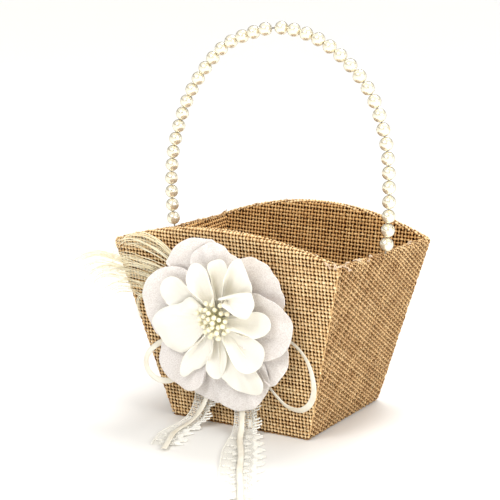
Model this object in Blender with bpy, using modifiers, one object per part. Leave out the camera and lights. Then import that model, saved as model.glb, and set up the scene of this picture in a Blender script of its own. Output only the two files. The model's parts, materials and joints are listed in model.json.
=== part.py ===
"""Flower girl basket: a flared tub of cloth-covered boards with arched front and back, a wire handle strung
with pearls that leans in slots in the side rims, and a cloth flower with a feather, ribbons and lace tails.

Metres, +Z up. The origin is the middle of the underside, the front with the flower faces -Y.
"""

import math

import bmesh
import bpy
from mathutils import Matrix, Vector

# The tub, measured over its outer faces.
TOP_WIDTH = 0.144
TOP_DEPTH = 0.115
BASE_WIDTH = 0.090
BASE_DEPTH = 0.083
HEIGHT = 0.101
CORNER_RISE = 0.003  # the front corners stand this much above HEIGHT and the back ones this much below
FRONT_ARCH = 0.013
BACK_ARCH = 0.0145

# The layers of a wall, from the outside in.
GAP = 0.0003
CLOTH = 0.0009
BOARD = 0.0018
LINING = 0.0008
HEM_DROP = 0.006  # the outer cloth turns over the rim and this far down inside
HEM_ROUND = 0.0012
WALL = 2 * CLOTH + BOARD + 2 * GAP
MITRE = 0.00022  # taken off each end of a piece where two walls meet
FOOT = CLOTH + GAP  # the walls stand on the base cloth

# The handle.
PIVOT_HEIGHT = 0.095
WIRE_RADIUS = 0.0005
WIRE_STEP = 0.006
PEARL_COUNT = 39
PEARL_RADIUS = 0.00385
PEARL_PITCH = 0.0080
PEARL_BORE = 0.0010
FIRST_PEARL = 0.1056  # height of the lowest pearl
SLACK_AFTER = 19  # the pearl before the gap in the string
SLOT_WIDTH = 0.0020
SLOT_FOOT = 0.0009  # half the slot's length at its bottom
SLOT_LEAN = math.radians(18)
ARCH = (
    (-0.0682, 0.0950),
    (-0.0698, 0.1010),
    (-0.0710, 0.1120),
    (-0.0711, 0.1340),
    (-0.0676, 0.1545),
    (-0.0566, 0.1820),
    (-0.0372, 0.2062),
    (-0.0190, 0.2162),
    (0.0030, 0.2212),
    (0.0262, 0.2165),
    (0.0460, 0.2040),
    (0.0608, 0.1868),
    (0.0693, 0.1630),
    (0.0716, 0.1380),
    (0.0712, 0.1150),
    (0.0698, 0.1010),
    (0.0682, 0.0950),
)

# The flower, measured in the plane of the front: across, up the slope, and out from the cloth.
FLOWER_CENTRE = (-0.005, 0.0660)
FLOWER_HEART = (-0.0020, 0.0705)
BACKING_RADIUS = 0.018
BACKING_THICKNESS = 0.0034
OUTER_PETALS = ((0.012, 0.0042), (0.025, 0.0052), (0.037, 0.0070), (0.0495, 0.0095))
INNER_PETALS = ((0.008, 0.0078), (0.015, 0.0105), (0.021, 0.0150), (0.026, 0.0200))
STAMENS = ((0.0030, 0.0106), (0.0040, 0.0135), (0.0104, 0.0175), (0.0085, 0.0205), (0.0045, 0.0220))
PETAL_SOLID = 0.0024
FEATHER_THICKNESS = 0.0026
FEATHER = (
    (-0.030, 0.070),
    (-0.046, 0.060),
    (-0.062, 0.058),
    (-0.076, 0.059),
    (-0.090, 0.060),
    (-0.099, 0.068),
    (-0.103, 0.079),
    (-0.099, 0.091),
    (-0.088, 0.100),
    (-0.072, 0.106),
    (-0.046, 0.106),
    (-0.030, 0.098),
)

# The ribbons, as hand-laid routes from the flower's backing: out, round a loop, back and down to the floor.
RIBBON_WIDTH = 0.003
RIBBON_STEP = 0.0065
RIBBON_RIGHT = (
    (0.0138, -0.0537, 0.0602),
    (0.0240, -0.0541, 0.0630),
    (0.0355, -0.0543, 0.0615),
    (0.0445, -0.0541, 0.0570),
    (0.0510, -0.0541, 0.0500),
    (0.0540, -0.0535, 0.0410),
    (0.0540, -0.0521, 0.0320),
    (0.0500, -0.0498, 0.0240),
    (0.0430, -0.0480, 0.0192),
    (0.0345, -0.0478, 0.0202),
    (0.0275, -0.0487, 0.0262),
    (0.0210, -0.0503, 0.0335),
    (0.0130, -0.0511, 0.0365),
    (0.0075, -0.0508, 0.0315),
    (0.0066, -0.0505, 0.0225),
    (0.0078, -0.0512, 0.0140),
    (0.0090, -0.0537, 0.0070),
    (0.0112, -0.0588, 0.0034),
    (0.0160, -0.0670, 0.0029),
    (0.0225, -0.0765, 0.0029),
    (0.0290, -0.0870, 0.0029),
    (0.0355, -0.0985, 0.0029),
    (0.0425, -0.1100, 0.0029),
    (0.0500, -0.1215, 0.0029),
    (0.0570, -0.1330, 0.0029),
    (0.0645, -0.1450, 0.0029),
)
RIBBON_LEFT = (
    (-0.0225, -0.0525, 0.0556),
    (-0.0310, -0.0522, 0.0525),
    (-0.0400, -0.0526, 0.0488),
    (-0.0475, -0.0542, 0.0445),
    (-0.0525, -0.0558, 0.0380),
    (-0.0530, -0.0550, 0.0305),
    (-0.0485, -0.0532, 0.0248),
    (-0.0410, -0.0512, 0.0238),
    (-0.0340, -0.0502, 0.0280),
    (-0.0280, -0.0503, 0.0335),
    (-0.0215, -0.0508, 0.0355),
    (-0.0170, -0.0506, 0.0310),
    (-0.0158, -0.0502, 0.0230),
    (-0.0172, -0.0507, 0.0150),
    (-0.0205, -0.0527, 0.0085),
    (-0.0240, -0.0572, 0.0042),
    (-0.0255, -0.0640, 0.0029),
    (-0.0242, -0.0720, 0.0029),
    (-0.0212, -0.0800, 0.0029),
    (-0.0178, -0.0880, 0.0029),
    (-0.0145, -0.0960, 0.0029),
)

# The lace tails under them: the middle of the strip, and how far it is turned from facing straight ahead.
LACE_THICKNESS = 0.0008
LACE_RIGHT_WIDTH = 0.024
LACE_LEFT_WIDTH = 0.020
LACE_RIGHT = (
    (0.0080, -0.0483, 0.0320, 0),
    (0.0085, -0.0475, 0.0250, 0),
    (0.0090, -0.0471, 0.0170, 2),
    (0.0098, -0.0478, 0.0095, 6),
    (0.0108, -0.0502, 0.0042, 12),
    (0.0130, -0.0550, 0.0014, 20),
    (0.0165, -0.0625, 0.0008, 28),
    (0.0225, -0.0735, 0.0007, 30),
    (0.0290, -0.0850, 0.0007, 30),
    (0.0360, -0.0975, 0.0007, 31),
    (0.0435, -0.1105, 0.0007, 32),
    (0.0515, -0.1235, 0.0007, 32),
    (0.0590, -0.1355, 0.0007, 32),
)
LACE_LEFT = (
    (-0.0165, -0.0480, 0.0300, 0),
    (-0.0170, -0.0473, 0.0235, 0),
    (-0.0180, -0.0472, 0.0160, -4),
    (-0.0200, -0.0486, 0.0085, -8),
    (-0.0222, -0.0520, 0.0036, -8),
    (-0.0240, -0.0570, 0.0012, 0),
    (-0.0248, -0.0640, 0.0007, 8),
    (-0.0235, -0.0720, 0.0007, 14),
    (-0.0205, -0.0800, 0.0007, 18),
    (-0.0170, -0.0880, 0.0007, 20),
)

FRONT_FLARE = math.atan2((TOP_DEPTH - BASE_DEPTH) / 2, HEIGHT)
SIDE_FLARE = math.atan2((TOP_WIDTH - BASE_WIDTH) / 2, HEIGHT)


class Wall:
    """One side of the tub, standing in its own plane: u across it, d in from its outer face, z its real height."""

    def __init__(self, turn, out, across, flare, across_flare, rim_left, rim_right, arch):
        self.turn = math.radians(turn)
        self.out = out
        self.across = across
        self.flare = flare
        self.across_flare = across_flare
        self.rim_left = rim_left
        self.rim_right = rim_right
        self.arch = arch

    def frame(self):
        """The wall's plane in the world: x across, y up the slope, z out of the cloth."""
        lean = Matrix.Rotation(math.pi / 2 + self.flare, 4, "X")
        return Matrix.Rotation(self.turn, 4, "Z") @ Matrix.Translation((0, -self.out, 0)) @ lean

    def rim(self, t):
        """The rim's height at t, which runs from -1 at the wall's left end to 1 at its right end."""
        level = (self.rim_left + self.rim_right) / 2 + t * (self.rim_right - self.rim_left) / 2
        return level + self.arch * (1 - t * t)

    def point(self, t, z, d, mitre):
        """A world point at fraction t of the width, height z and depth d, the ends held back by mitre."""
        slope = (z - d * math.sin(self.flare)) / math.cos(self.flare)
        half = self.across + z * math.tan(self.across_flare) - d / math.cos(self.across_flare)
        return self.frame() @ Vector((t * (half - mitre), slope, -d))


FRONT_RIM = HEIGHT + CORNER_RISE
BACK_RIM = HEIGHT - CORNER_RISE
WALLS = {
    "front": Wall(0, BASE_DEPTH / 2, BASE_WIDTH / 2, FRONT_FLARE, SIDE_FLARE, FRONT_RIM, FRONT_RIM, FRONT_ARCH),
    "right": Wall(90, BASE_WIDTH / 2, BASE_DEPTH / 2, SIDE_FLARE, FRONT_FLARE, FRONT_RIM, BACK_RIM, 0),
    "back": Wall(180, BASE_DEPTH / 2, BASE_WIDTH / 2, FRONT_FLARE, SIDE_FLARE, BACK_RIM, BACK_RIM, BACK_ARCH),
    "left": Wall(270, BASE_WIDTH / 2, BASE_DEPTH / 2, SIDE_FLARE, FRONT_FLARE, BACK_RIM, FRONT_RIM, 0),
}


def clear_scene():
    for obj in list(bpy.data.objects):
        bpy.data.objects.remove(obj)


def make_collection(name):
    collection = bpy.data.collections.new(name)
    bpy.context.scene.collection.children.link(collection)
    return collection


def material(name, colour, roughness, metallic=0.0):
    made = bpy.data.materials.new(name)
    made.use_nodes = True
    shader = made.node_tree.nodes["Principled BSDF"]
    shader.inputs["Base Color"].default_value = (*colour, 1)
    shader.inputs["Roughness"].default_value = roughness
    shader.inputs["Metallic"].default_value = metallic
    return made


def add_object(name, data, finish, smooth=False):
    obj = bpy.data.objects.new(name, data)
    PARTS.objects.link(obj)
    if not data.materials:
        data.materials.append(finish)
    if smooth:
        data.shade_smooth()
        data.set_sharp_from_angle(angle=math.radians(40))
    return obj


def add_mesh(name, bm, finish, smooth=False):
    bmesh.ops.recalc_face_normals(bm, faces=bm.faces)
    mesh = bpy.data.meshes.new(name)
    bm.to_mesh(mesh)
    bm.free()
    return add_object(name, mesh, finish, smooth)


def solidify(obj, thickness, offset):
    shell = obj.modifiers.new("thickness", "SOLIDIFY")
    shell.thickness = thickness
    shell.offset = offset
    shell.use_even_offset = True


def spread(count):
    """count values from -1 to 1."""
    return [2 * i / (count - 1) - 1 for i in range(count)]


def smooth_route(points, step):
    """Points about step apart on a smooth curve through points (Catmull-Rom)."""
    knots = [Vector(p) for p in points]
    knots = [2 * knots[0] - knots[1], *knots, 2 * knots[-1] - knots[-2]]
    fine = []
    pieces = 16
    for a, b, c, d in zip(knots, knots[1:], knots[2:], knots[3:]):
        for i in range(pieces):
            t = i / pieces
            bend = 2 * a - 5 * b + 4 * c - d
            twist = 3 * b - a - 3 * c + d
            fine.append((2 * b + (c - a) * t + bend * t**2 + twist * t**3) / 2)
    fine.append(knots[-2])
    lengths = [0.0]
    for a, b in zip(fine, fine[1:]):
        lengths.append(lengths[-1] + (b - a).length)
    count = max(2, round(lengths[-1] / step) + 1)
    return [along(fine, lengths, lengths[-1] * i / (count - 1)) for i in range(count)]


def along(fine, lengths, distance):
    """The point at this distance along a fine run of points."""
    for i in range(len(fine) - 1):
        if lengths[i + 1] >= distance:
            share = (distance - lengths[i]) / (lengths[i + 1] - lengths[i])
            return fine[i].lerp(fine[i + 1], share)
    return fine[-1].copy()


def wall_piece(name, wall, profile, stations, finish):
    """A closed strip along a wall. profile is its cross-section: (from the rim or not, height, depth) points."""
    bm = bmesh.new()
    rings = []
    for t in spread(stations):
        heights = [(wall.rim(t) + z if from_rim else z, d) for from_rim, z, d in profile]
        rings.append([bm.verts.new(wall.point(t, z, d, MITRE)) for z, d in heights])
    size = len(profile)
    for ring, following in zip(rings, rings[1:]):
        for i in range(size):
            j = (i + 1) % size
            bm.faces.new((ring[i], ring[j], following[j], following[i]))
    bm.faces.new(rings[0])
    bm.faces.new(rings[-1])
    return add_mesh(name, bm, finish)


def slot_cutter(side):
    """The wedge in which the handle's wire leans, cut through a side board and the cloth on its top edge."""
    wall = WALLS[side]
    bm = bmesh.new()
    top = PIVOT_HEIGHT + 0.012
    bottom = PIVOT_HEIGHT - 2 * WIRE_RADIUS
    middle = CLOTH + GAP + BOARD / 2
    corners = []
    for z, half in ((bottom, SLOT_FOOT), (top, SLOT_FOOT + (top - bottom) * math.tan(SLOT_LEAN))):
        for d in (middle - SLOT_WIDTH / 2, middle + SLOT_WIDTH / 2):
            slope = (z - d * math.sin(wall.flare)) / math.cos(wall.flare)
            corners += [bm.verts.new(wall.frame() @ Vector((u, slope, -d))) for u in (-half, half)]
    bmesh.ops.convex_hull(bm, input=corners)
    cutter = add_mesh("slot_" + side, bm, None)
    PARTS.objects.unlink(cutter)
    CUTTERS.objects.link(cutter)
    cutter.hide_render = True
    cutter.display_type = "WIRE"
    return cutter


def cut(obj, cutter):
    boolean = obj.modifiers.new("slot", "BOOLEAN")
    boolean.operation = "DIFFERENCE"
    boolean.object = cutter


def make_walls():
    """A board and an outer cloth for each side. The cloth turns over the board's top edge."""
    inner = WALL - CLOTH
    cloth = (
        (False, FOOT, 0),
        (True, -HEM_ROUND, 0),
        (True, -HEM_ROUND * 0.3, HEM_ROUND * 0.3),
        (True, 0, HEM_ROUND),
        (True, 0, WALL - HEM_ROUND),
        (True, -HEM_ROUND * 0.3, WALL - HEM_ROUND * 0.3),
        (True, -HEM_ROUND, WALL),
        (True, -HEM_DROP, WALL),
        (True, -HEM_DROP, inner),
        (True, -CLOTH, inner),
        (True, -CLOTH, CLOTH),
        (False, FOOT, CLOTH),
    )
    near = CLOTH + GAP
    board = ((False, FOOT, near), (True, -near, near), (True, -near, near + BOARD), (False, FOOT, near + BOARD))
    for side, wall in WALLS.items():
        stations = 13 if wall.arch else 3
        pieces = (
            wall_piece(side + "_cloth", wall, cloth, stations, BURLAP),
            wall_piece(side + "_board", wall, board, stations, CHIPBOARD),
        )
        if not wall.arch:
            cutter = slot_cutter(side)
            for piece in pieces:
                cut(piece, cutter)


def add_slab(name, half_width, half_depth, bottom, thickness, finish):
    bm = bmesh.new()
    bmesh.ops.create_cube(bm, size=1)
    bmesh.ops.scale(bm, vec=(2 * half_width, 2 * half_depth, thickness), verts=bm.verts)
    slab = add_mesh(name, bm, finish)
    slab.location.z = bottom + thickness / 2


def make_base():
    """The cloth under the tub, and the board that lies on it between the walls."""
    add_slab("base_cloth", BASE_WIDTH / 2, BASE_DEPTH / 2, 0, CLOTH, BURLAP)
    reach = CLOTH + BOARD + 3 * GAP
    half_width = BASE_WIDTH / 2 + FOOT * math.tan(SIDE_FLARE) - reach / math.cos(SIDE_FLARE)
    half_depth = BASE_DEPTH / 2 + FOOT * math.tan(FRONT_FLARE) - reach / math.cos(FRONT_FLARE)
    add_slab("base_board", half_width, half_depth, FOOT, BOARD, CHIPBOARD)


def make_lining():
    """One cloth tub inside the boards: a floor, and four walls that end under the hem."""
    bm = bmesh.new()
    depth = CLOTH + BOARD + 2 * GAP
    floor = FOOT + BOARD + GAP
    stations = 13
    top, bottom = [], []
    for wall in WALLS.values():
        for t in spread(stations)[:-1]:
            top.append(bm.verts.new(wall.point(t, wall.rim(t) - HEM_DROP - LINING, depth, 0)))
            bottom.append(bm.verts.new(wall.point(t, floor, depth, 0)))
    count = len(top)
    for i in range(count):
        j = (i + 1) % count
        bm.faces.new((bottom[i], bottom[j], top[j], top[i]))
    bm.faces.new(list(reversed(bottom)))
    lining = add_mesh("lining", bm, BURLAP)
    solidify(lining, LINING, -1)


def make_handle():
    """The wire arch, the pearls on it, and the empty on the axis that the whole handle leans about."""
    pivot = bpy.data.objects.new("handle_pivot", None)
    pivot.location = (0, 0, PIVOT_HEIGHT)
    PARTS.objects.link(pivot)

    curve = bpy.data.curves.new("handle_wire", "CURVE")
    curve.dimensions = "3D"
    curve.bevel_depth = WIRE_RADIUS
    curve.bevel_resolution = 2
    curve.use_fill_caps = True
    route = smooth_route([(x, 0, z) for x, z in ARCH], WIRE_STEP)
    lay_spline(curve, [p - pivot.location for p in route])
    wire = add_object("handle_wire", curve, STEEL)
    wire.parent = pivot

    fine = smooth_route([(x, 0, z) for x, z in ARCH], WIRE_STEP / 40)
    lengths = [0.0]
    for a, b in zip(fine, fine[1:]):
        lengths.append(lengths[-1] + (b - a).length)
    above = [s for p, s in zip(fine, lengths) if p.z >= FIRST_PEARL]
    slack = above[-1] - above[0] - (PEARL_COUNT - 1) * PEARL_PITCH
    mesh = pearl_mesh()
    for number in range(1, PEARL_COUNT + 1):
        distance = above[0] + (number - 1) * PEARL_PITCH + (slack if number > SLACK_AFTER else 0)
        here = along(fine, lengths, distance)
        ahead = along(fine, lengths, distance + WIRE_STEP / 20) - here
        pearl = add_object(f"pearl_{number:02d}", mesh, PEARL)
        pearl.rotation_euler.y = math.atan2(ahead.x, ahead.z)
        pearl.location = here - pivot.location
        pearl.parent = pivot
        turn_profile(pearl, 8)


def pearl_mesh():
    """The outline of a bored bead: down the outside from pole to pole, and back up the bore."""
    bm = bmesh.new()
    spans = 6
    pole = math.asin(PEARL_BORE / PEARL_RADIUS)
    points = []
    for i in range(spans + 1):
        angle = pole + (math.pi - 2 * pole) * i / spans
        points.append((PEARL_RADIUS * math.sin(angle), 0, PEARL_RADIUS * math.cos(angle)))
    verts = [bm.verts.new(p) for p in points]
    for a, b in zip(verts, verts[1:] + verts[:1]):
        bm.edges.new((a, b))
    mesh = bpy.data.meshes.new("pearl")
    bm.to_mesh(mesh)
    bm.free()
    return mesh


def turn_profile(obj, steps):
    screw = obj.modifiers.new("turn", "SCREW")
    screw.steps = steps
    screw.render_steps = steps
    screw.use_merge_vertices = True
    screw.merge_threshold = 0.00001


def lay_spline(curve, points):
    spline = curve.splines.new("POLY")
    spline.points.add(len(points) - 1)
    for vertex, place in zip(spline.points, points):
        vertex.co = (*place, 1)


def on_front(obj, u, s, out):
    """Places an object on the front cloth, its own z pointing out of it."""
    obj.matrix_world = WALLS["front"].frame() @ Matrix.Translation((u, s, out))


def add_petals(name, centre, rings, lobes, spokes, finish):
    """A lobed dish: rings of (radius, distance out of the cloth), the outer one scalloped into petals."""
    bm = bmesh.new()
    first, last = rings[0][1], rings[-1][0]
    hub = bm.verts.new((0, 0, first))
    loops = []
    for radius, out in rings:
        loop = []
        for i in range(spokes):
            angle = 2 * math.pi * i / spokes
            notch = 1 - 0.08 * (radius / last) ** 3 * (1 - abs(math.cos(lobes * angle / 2)))
            loop.append(bm.verts.new((radius * notch * math.cos(angle), radius * notch * math.sin(angle), out)))
        loops.append(loop)
    for i in range(spokes):
        j = (i + 1) % spokes
        bm.faces.new((hub, loops[0][i], loops[0][j]))
        for inner, outer in zip(loops, loops[1:]):
            bm.faces.new((inner[i], outer[i], outer[j], inner[j]))
    dish = add_mesh(name, bm, finish)
    solidify(dish, PETAL_SOLID, 1 if dish.data.polygons[0].normal.z > 0 else -1)
    on_front(dish, *centre, 0)


def make_flower():
    """The felt backing, the wide sheer petals, the satin cup of petals and the stamens."""
    bm = bmesh.new()
    half = BACKING_THICKNESS / 2
    bmesh.ops.create_cone(
        bm, cap_ends=True, segments=24, radius1=BACKING_RADIUS, radius2=BACKING_RADIUS, depth=2 * half
    )
    backing = add_mesh("flower_backing", bm, FELT)
    on_front(backing, *FLOWER_CENTRE, GAP + half)
    add_petals("outer_petals", FLOWER_CENTRE, OUTER_PETALS, 8, 32, ORGANZA)
    add_petals("inner_petals", FLOWER_HEART, INNER_PETALS, 6, 24, SATIN)

    bm = bmesh.new()
    points = [(0, 0, STAMENS[-1][1]), *((r, 0, z) for r, z in reversed(STAMENS)), (0, 0, STAMENS[0][1])]
    verts = [bm.verts.new(p) for p in points]
    for a, b in zip(verts, verts[1:]):
        bm.edges.new((a, b))
    mesh = bpy.data.meshes.new("stamens")
    bm.to_mesh(mesh)
    bm.free()
    stamens = add_object("stamens", mesh, STAMEN)
    turn_profile(stamens, 12)
    on_front(stamens, *FLOWER_HEART, 0)


def make_feather():
    """The feather's whole spray as one flat shape against the front cloth, past its left edge."""
    curve = bpy.data.curves.new("feather", "CURVE")
    curve.dimensions = "2D"
    curve.fill_mode = "BOTH"
    curve.extrude = FEATHER_THICKNESS / 2
    outline = smooth_route([(x, y, 0) for x, y in (*FEATHER, FEATHER[0])], 0.008)
    lay_spline(curve, outline[:-1])
    curve.splines[0].use_cyclic_u = True
    feather = add_object("feather", curve, FEATHER_WHITE)
    on_front(feather, 0, 0, 2 * GAP + FEATHER_THICKNESS / 2)


def add_ribbon(name, route):
    curve = bpy.data.curves.new(name, "CURVE")
    curve.dimensions = "3D"
    curve.bevel_depth = RIBBON_WIDTH / 2
    curve.bevel_resolution = 2
    curve.use_fill_caps = True
    lay_spline(curve, smooth_route(route, RIBBON_STEP))
    add_object(name, curve, SATIN)


def add_lace(name, route, width):
    """A flat strip: each route point is the strip's middle and how far its width is turned about the vertical."""
    bm = bmesh.new()
    middles = smooth_route([p[:3] for p in route], 0.006)
    turns = smooth_route([(math.radians(p[3]), i / 100, 0) for i, p in enumerate(route)], 0.001)
    rows = []
    for i, middle in enumerate(middles):
        turn = turns[round(i / (len(middles) - 1) * (len(turns) - 1))].x
        side = Vector((math.cos(turn), math.sin(turn), 0)) * width / 2
        rows.append([bm.verts.new(middle - side), bm.verts.new(middle + side)])
    for (a, b), (c, d) in zip(rows, rows[1:]):
        bm.faces.new((a, b, d, c))
    lace = add_mesh(name, bm, LACE)
    solidify(lace, LACE_THICKNESS, 0)


clear_scene()
PARTS = make_collection("flower_girl_basket")
CUTTERS = make_collection("cutters")
BURLAP = material("burlap", (0.50, 0.34, 0.17), 0.9)
CHIPBOARD = material("chipboard", (0.45, 0.38, 0.28), 0.8)
STEEL = material("wire", (0.60, 0.60, 0.58), 0.35, 1.0)
PEARL = material("pearl", (0.90, 0.86, 0.76), 0.2)
FELT = material("felt", (0.88, 0.86, 0.80), 0.95)
ORGANZA = material("organza", (0.85, 0.84, 0.82), 0.6)
SATIN = material("satin", (0.93, 0.90, 0.82), 0.4)
STAMEN = material("stamen", (0.92, 0.88, 0.72), 0.3)
FEATHER_WHITE = material("feather", (0.90, 0.86, 0.76), 0.7)
LACE = material("lace", (0.92, 0.91, 0.88), 0.8)

make_walls()
make_base()
make_lining()
make_handle()
make_flower()
make_feather()
add_ribbon("ribbon_right", RIBBON_RIGHT)
add_ribbon("ribbon_left", RIBBON_LEFT)
add_lace("lace_right", LACE_RIGHT, LACE_RIGHT_WIDTH)
add_lace("lace_left", LACE_LEFT, LACE_LEFT_WIDTH)
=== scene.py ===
"""Flower girl basket: the visible surfaces of a burlap tub with a pearl handle and a cloth flower.

The frame gives every size and place. Each sub-assembly below is a class that measures the frame, builds its
pieces as yarns, petals, beads and threads, and dresses them in finishes named for the real materials.
"""

from __future__ import annotations

import logging
import math
from collections.abc import Callable
from dataclasses import dataclass, field
from enum import Enum

import bpy
import numpy as np
from mathutils import Matrix, Quaternion, Vector, noise
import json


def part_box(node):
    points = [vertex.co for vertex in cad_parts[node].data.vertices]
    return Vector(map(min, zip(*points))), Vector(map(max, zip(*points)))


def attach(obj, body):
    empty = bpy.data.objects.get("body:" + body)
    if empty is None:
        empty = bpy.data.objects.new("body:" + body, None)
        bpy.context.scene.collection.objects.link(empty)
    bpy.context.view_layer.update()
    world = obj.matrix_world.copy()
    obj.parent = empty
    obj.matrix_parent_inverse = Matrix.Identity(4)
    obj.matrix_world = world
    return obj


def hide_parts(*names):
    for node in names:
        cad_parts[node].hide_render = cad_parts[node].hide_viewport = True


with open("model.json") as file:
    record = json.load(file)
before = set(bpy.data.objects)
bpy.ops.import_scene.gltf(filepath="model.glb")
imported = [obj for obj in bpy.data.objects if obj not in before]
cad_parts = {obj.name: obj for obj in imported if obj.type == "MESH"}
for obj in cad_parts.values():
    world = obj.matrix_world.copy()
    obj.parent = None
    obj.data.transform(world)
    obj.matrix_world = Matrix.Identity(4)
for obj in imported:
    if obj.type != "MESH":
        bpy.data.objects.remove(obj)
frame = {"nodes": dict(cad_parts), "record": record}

LOG = logging.getLogger("flower_girl_basket")
MM = 0.001
UNSCALED = 1000.0  # the noise size in millimetres that leaves coordinates as they are
Point = tuple[float, float, float]
Array = np.ndarray
Material = bpy.types.Material
Node = bpy.types.Node
Object = bpy.types.Object
Socket = bpy.types.NodeSocket
Tree = bpy.types.NodeTree
ROUTE_STEPS = 16  # points between two knots of a smooth route, before it is evenly spaced


# ---------------------------------------------------------------------------------------------- helpers


def linear(code: str) -> tuple[float, float, float, float]:
    """Turns an sRGB hex colour into linear light.

    Args:
        code: Six hex digits.

    Returns:
        Linear red, green and blue, and an alpha of 1.
    """
    channels = [int(code[i : i + 2], 16) / 255 for i in (0, 2, 4)]
    light = [c / 12.92 if c <= 0.04045 else ((c + 0.055) / 1.055) ** 2.4 for c in channels]
    return (light[0], light[1], light[2], 1.0)


def add_node(tree: Tree, kind: str, links: dict | None = None, **settings) -> Node:
    """Adds one node.

    Args:
        tree: The node tree that it goes in.
        kind: The node's Blender type name, without the ShaderNode in front.
        links: Input name or number to an output socket to link, or a value to set.
        **settings: Properties of the node itself, such as operation or data_type.

    Returns:
        The new node.
    """
    node = tree.nodes.new("ShaderNode" + kind)
    for name, value in settings.items():
        setattr(node, name, value)
    for socket, value in (links or {}).items():
        if isinstance(value, Socket):
            tree.links.new(value, node.inputs[socket])
        else:
            node.inputs[socket].default_value = value
    return node


def add_ramp(tree: Tree, value: Socket, *stops: tuple[float, tuple]) -> Socket:
    """Colours a value by a ramp of (position, colour) stops, given in order, and returns the colour."""
    ramp = add_node(tree, "ValToRGB", {0: value})
    elements = ramp.color_ramp.elements
    elements[0].position, elements[0].color = stops[0]
    elements[1].position, elements[1].color = stops[-1]
    for position, colour in stops[1:-1]:
        elements.new(position).color = colour
    return ramp.outputs["Color"]


class Surface:
    """A material in the making: its node tree, its Principled shader, and short calls for its nodes."""

    def __init__(self, name: str) -> None:
        """Starts a node material."""
        self.material = bpy.data.materials.new(name)
        self.material.use_nodes = True
        self.tree = self.material.node_tree
        self.shader = self.tree.nodes["Principled BSDF"]

    def maths(self, operation: str, *values: Socket | float) -> Socket:
        """Adds one sum and returns its result."""
        return add_node(self.tree, "Math", dict(enumerate(values)), operation=operation).outputs[0]

    def place(self) -> Socket:
        """Returns the place on the object, in metres."""
        return add_node(self.tree, "TexCoord").outputs["Object"]

    def attribute(self, name: str) -> tuple[Socket, Socket]:
        """Returns a mesh attribute's vector and alpha."""
        read = add_node(self.tree, "Attribute", attribute_name=name)
        return read.outputs["Vector"], read.outputs["Alpha"]

    def split(self, vector: Socket) -> list[Socket]:
        """Returns a vector's X, Y and Z."""
        return list(add_node(self.tree, "SeparateXYZ", {0: vector}).outputs)

    def joined(self, *parts: Socket) -> Socket:
        """Makes X, Y and Z one vector."""
        return add_node(self.tree, "CombineXYZ", dict(enumerate(parts))).outputs[0]

    def noise(self, vector: Socket, size_mm: float, detail: float, roughness: float = 0.5) -> Socket:
        """Adds soft noise whose clouds are size_mm across and returns its level."""
        links = {"Vector": vector, "Scale": 1 / (size_mm * MM), "Detail": detail, "Roughness": roughness}
        return add_node(self.tree, "TexNoise", links).outputs["Fac"]

    def spread(self, value: Socket, *limits: float) -> Socket:
        """Maps a value from the first two limits to the last two."""
        return add_node(self.tree, "MapRange", {0: value, **dict(enumerate(limits, 1))}).outputs["Result"]

    def ramped(self, value: Socket, *stops: tuple[float, str]) -> None:
        """Colours the surface by a ramp of (position, hex colour) stops."""
        self.feed("Base Color", add_ramp(self.tree, value, *((at, linear(code)) for at, code in stops)))

    def paint(self, factor: Socket, light: str, shade: str) -> None:
        """Colours the surface between two hex colours."""
        colour = add_node(self.tree, "Mix", {"Factor": factor}, data_type="RGBA")
        colour.inputs["A"].default_value = linear(light)
        colour.inputs["B"].default_value = linear(shade)
        self.feed("Base Color", colour.outputs["Result"])

    def bump(self, height: Socket, strength: float, depth: float) -> None:
        """Raises the surface by a height, at most depth metres."""
        links = {"Height": height, "Strength": strength, "Distance": depth}
        self.feed("Normal", add_node(self.tree, "Bump", links).outputs["Normal"])

    def feed(self, socket: str, value: Socket) -> None:
        """Links a value to a shader socket."""
        self.tree.links.new(value, self.shader.inputs[socket])

    def finished(self, **levels) -> Material:
        """Sets plain values on the shader's sockets, named with _ for a space, and returns the material."""
        for name, level in levels.items():
            self.shader.inputs[name.replace("_", " ")].default_value = level
        return self.material


def smooth_route(points: list[Point] | Array, step: float) -> Array:
    """Lays a smooth curve through points.

    Args:
        points: The points that the curve passes through.
        step: The wanted distance between the returned points.

    Returns:
        Evenly spaced points on the curve, one row each.
    """
    knots = np.asarray(points, float)
    knots = np.vstack([2 * knots[0] - knots[1], knots, 2 * knots[-1] - knots[-2]])
    share = np.linspace(0, 1, ROUTE_STEPS, endpoint=False)[:, None]
    runs = []
    for a, b, c, d in zip(knots, knots[1:], knots[2:], knots[3:]):
        bend = 2 * a - 5 * b + 4 * c - d
        twist = 3 * b - a - 3 * c + d
        runs.append((2 * b + (c - a) * share + bend * share**2 + twist * share**3) / 2)
    fine = np.vstack([*runs, knots[-2]])
    lengths = distances(fine)
    places = np.linspace(0, lengths[-1], max(2, round(lengths[-1] / step) + 1))
    return np.stack([np.interp(places, lengths, fine[:, k]) for k in range(fine.shape[1])], axis=1)


def distances(path: Array) -> Array:
    """How far along a path each of its points is."""
    return np.concatenate([[0], np.cumsum(np.linalg.norm(np.diff(path, axis=0), axis=1))])


def flat_route(points: tuple[tuple[float, float], ...], step: float) -> Array:
    """Lays a smooth curve through points of a plane."""
    return smooth_route([(x, y, 0.0) for x, y in points], step)[:, :2]


def unit(rows: Array) -> Array:
    """Scales each row to length 1."""
    return rows / np.maximum(np.linalg.norm(rows, axis=-1, keepdims=True), 1e-12)


def ease(value: Array | float) -> Array | float:
    """A smooth step from 0 to 1 as value goes from 0 to 1."""
    clipped = np.clip(value, 0, 1)
    return clipped * clipped * (3 - 2 * clipped)


def rise(x: Array, low: float, span: float) -> Array:
    """Rises from 0 at low to 1 at low + span, as a square."""
    return np.clip((x - low) / span, 0, 1) ** 2


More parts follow.
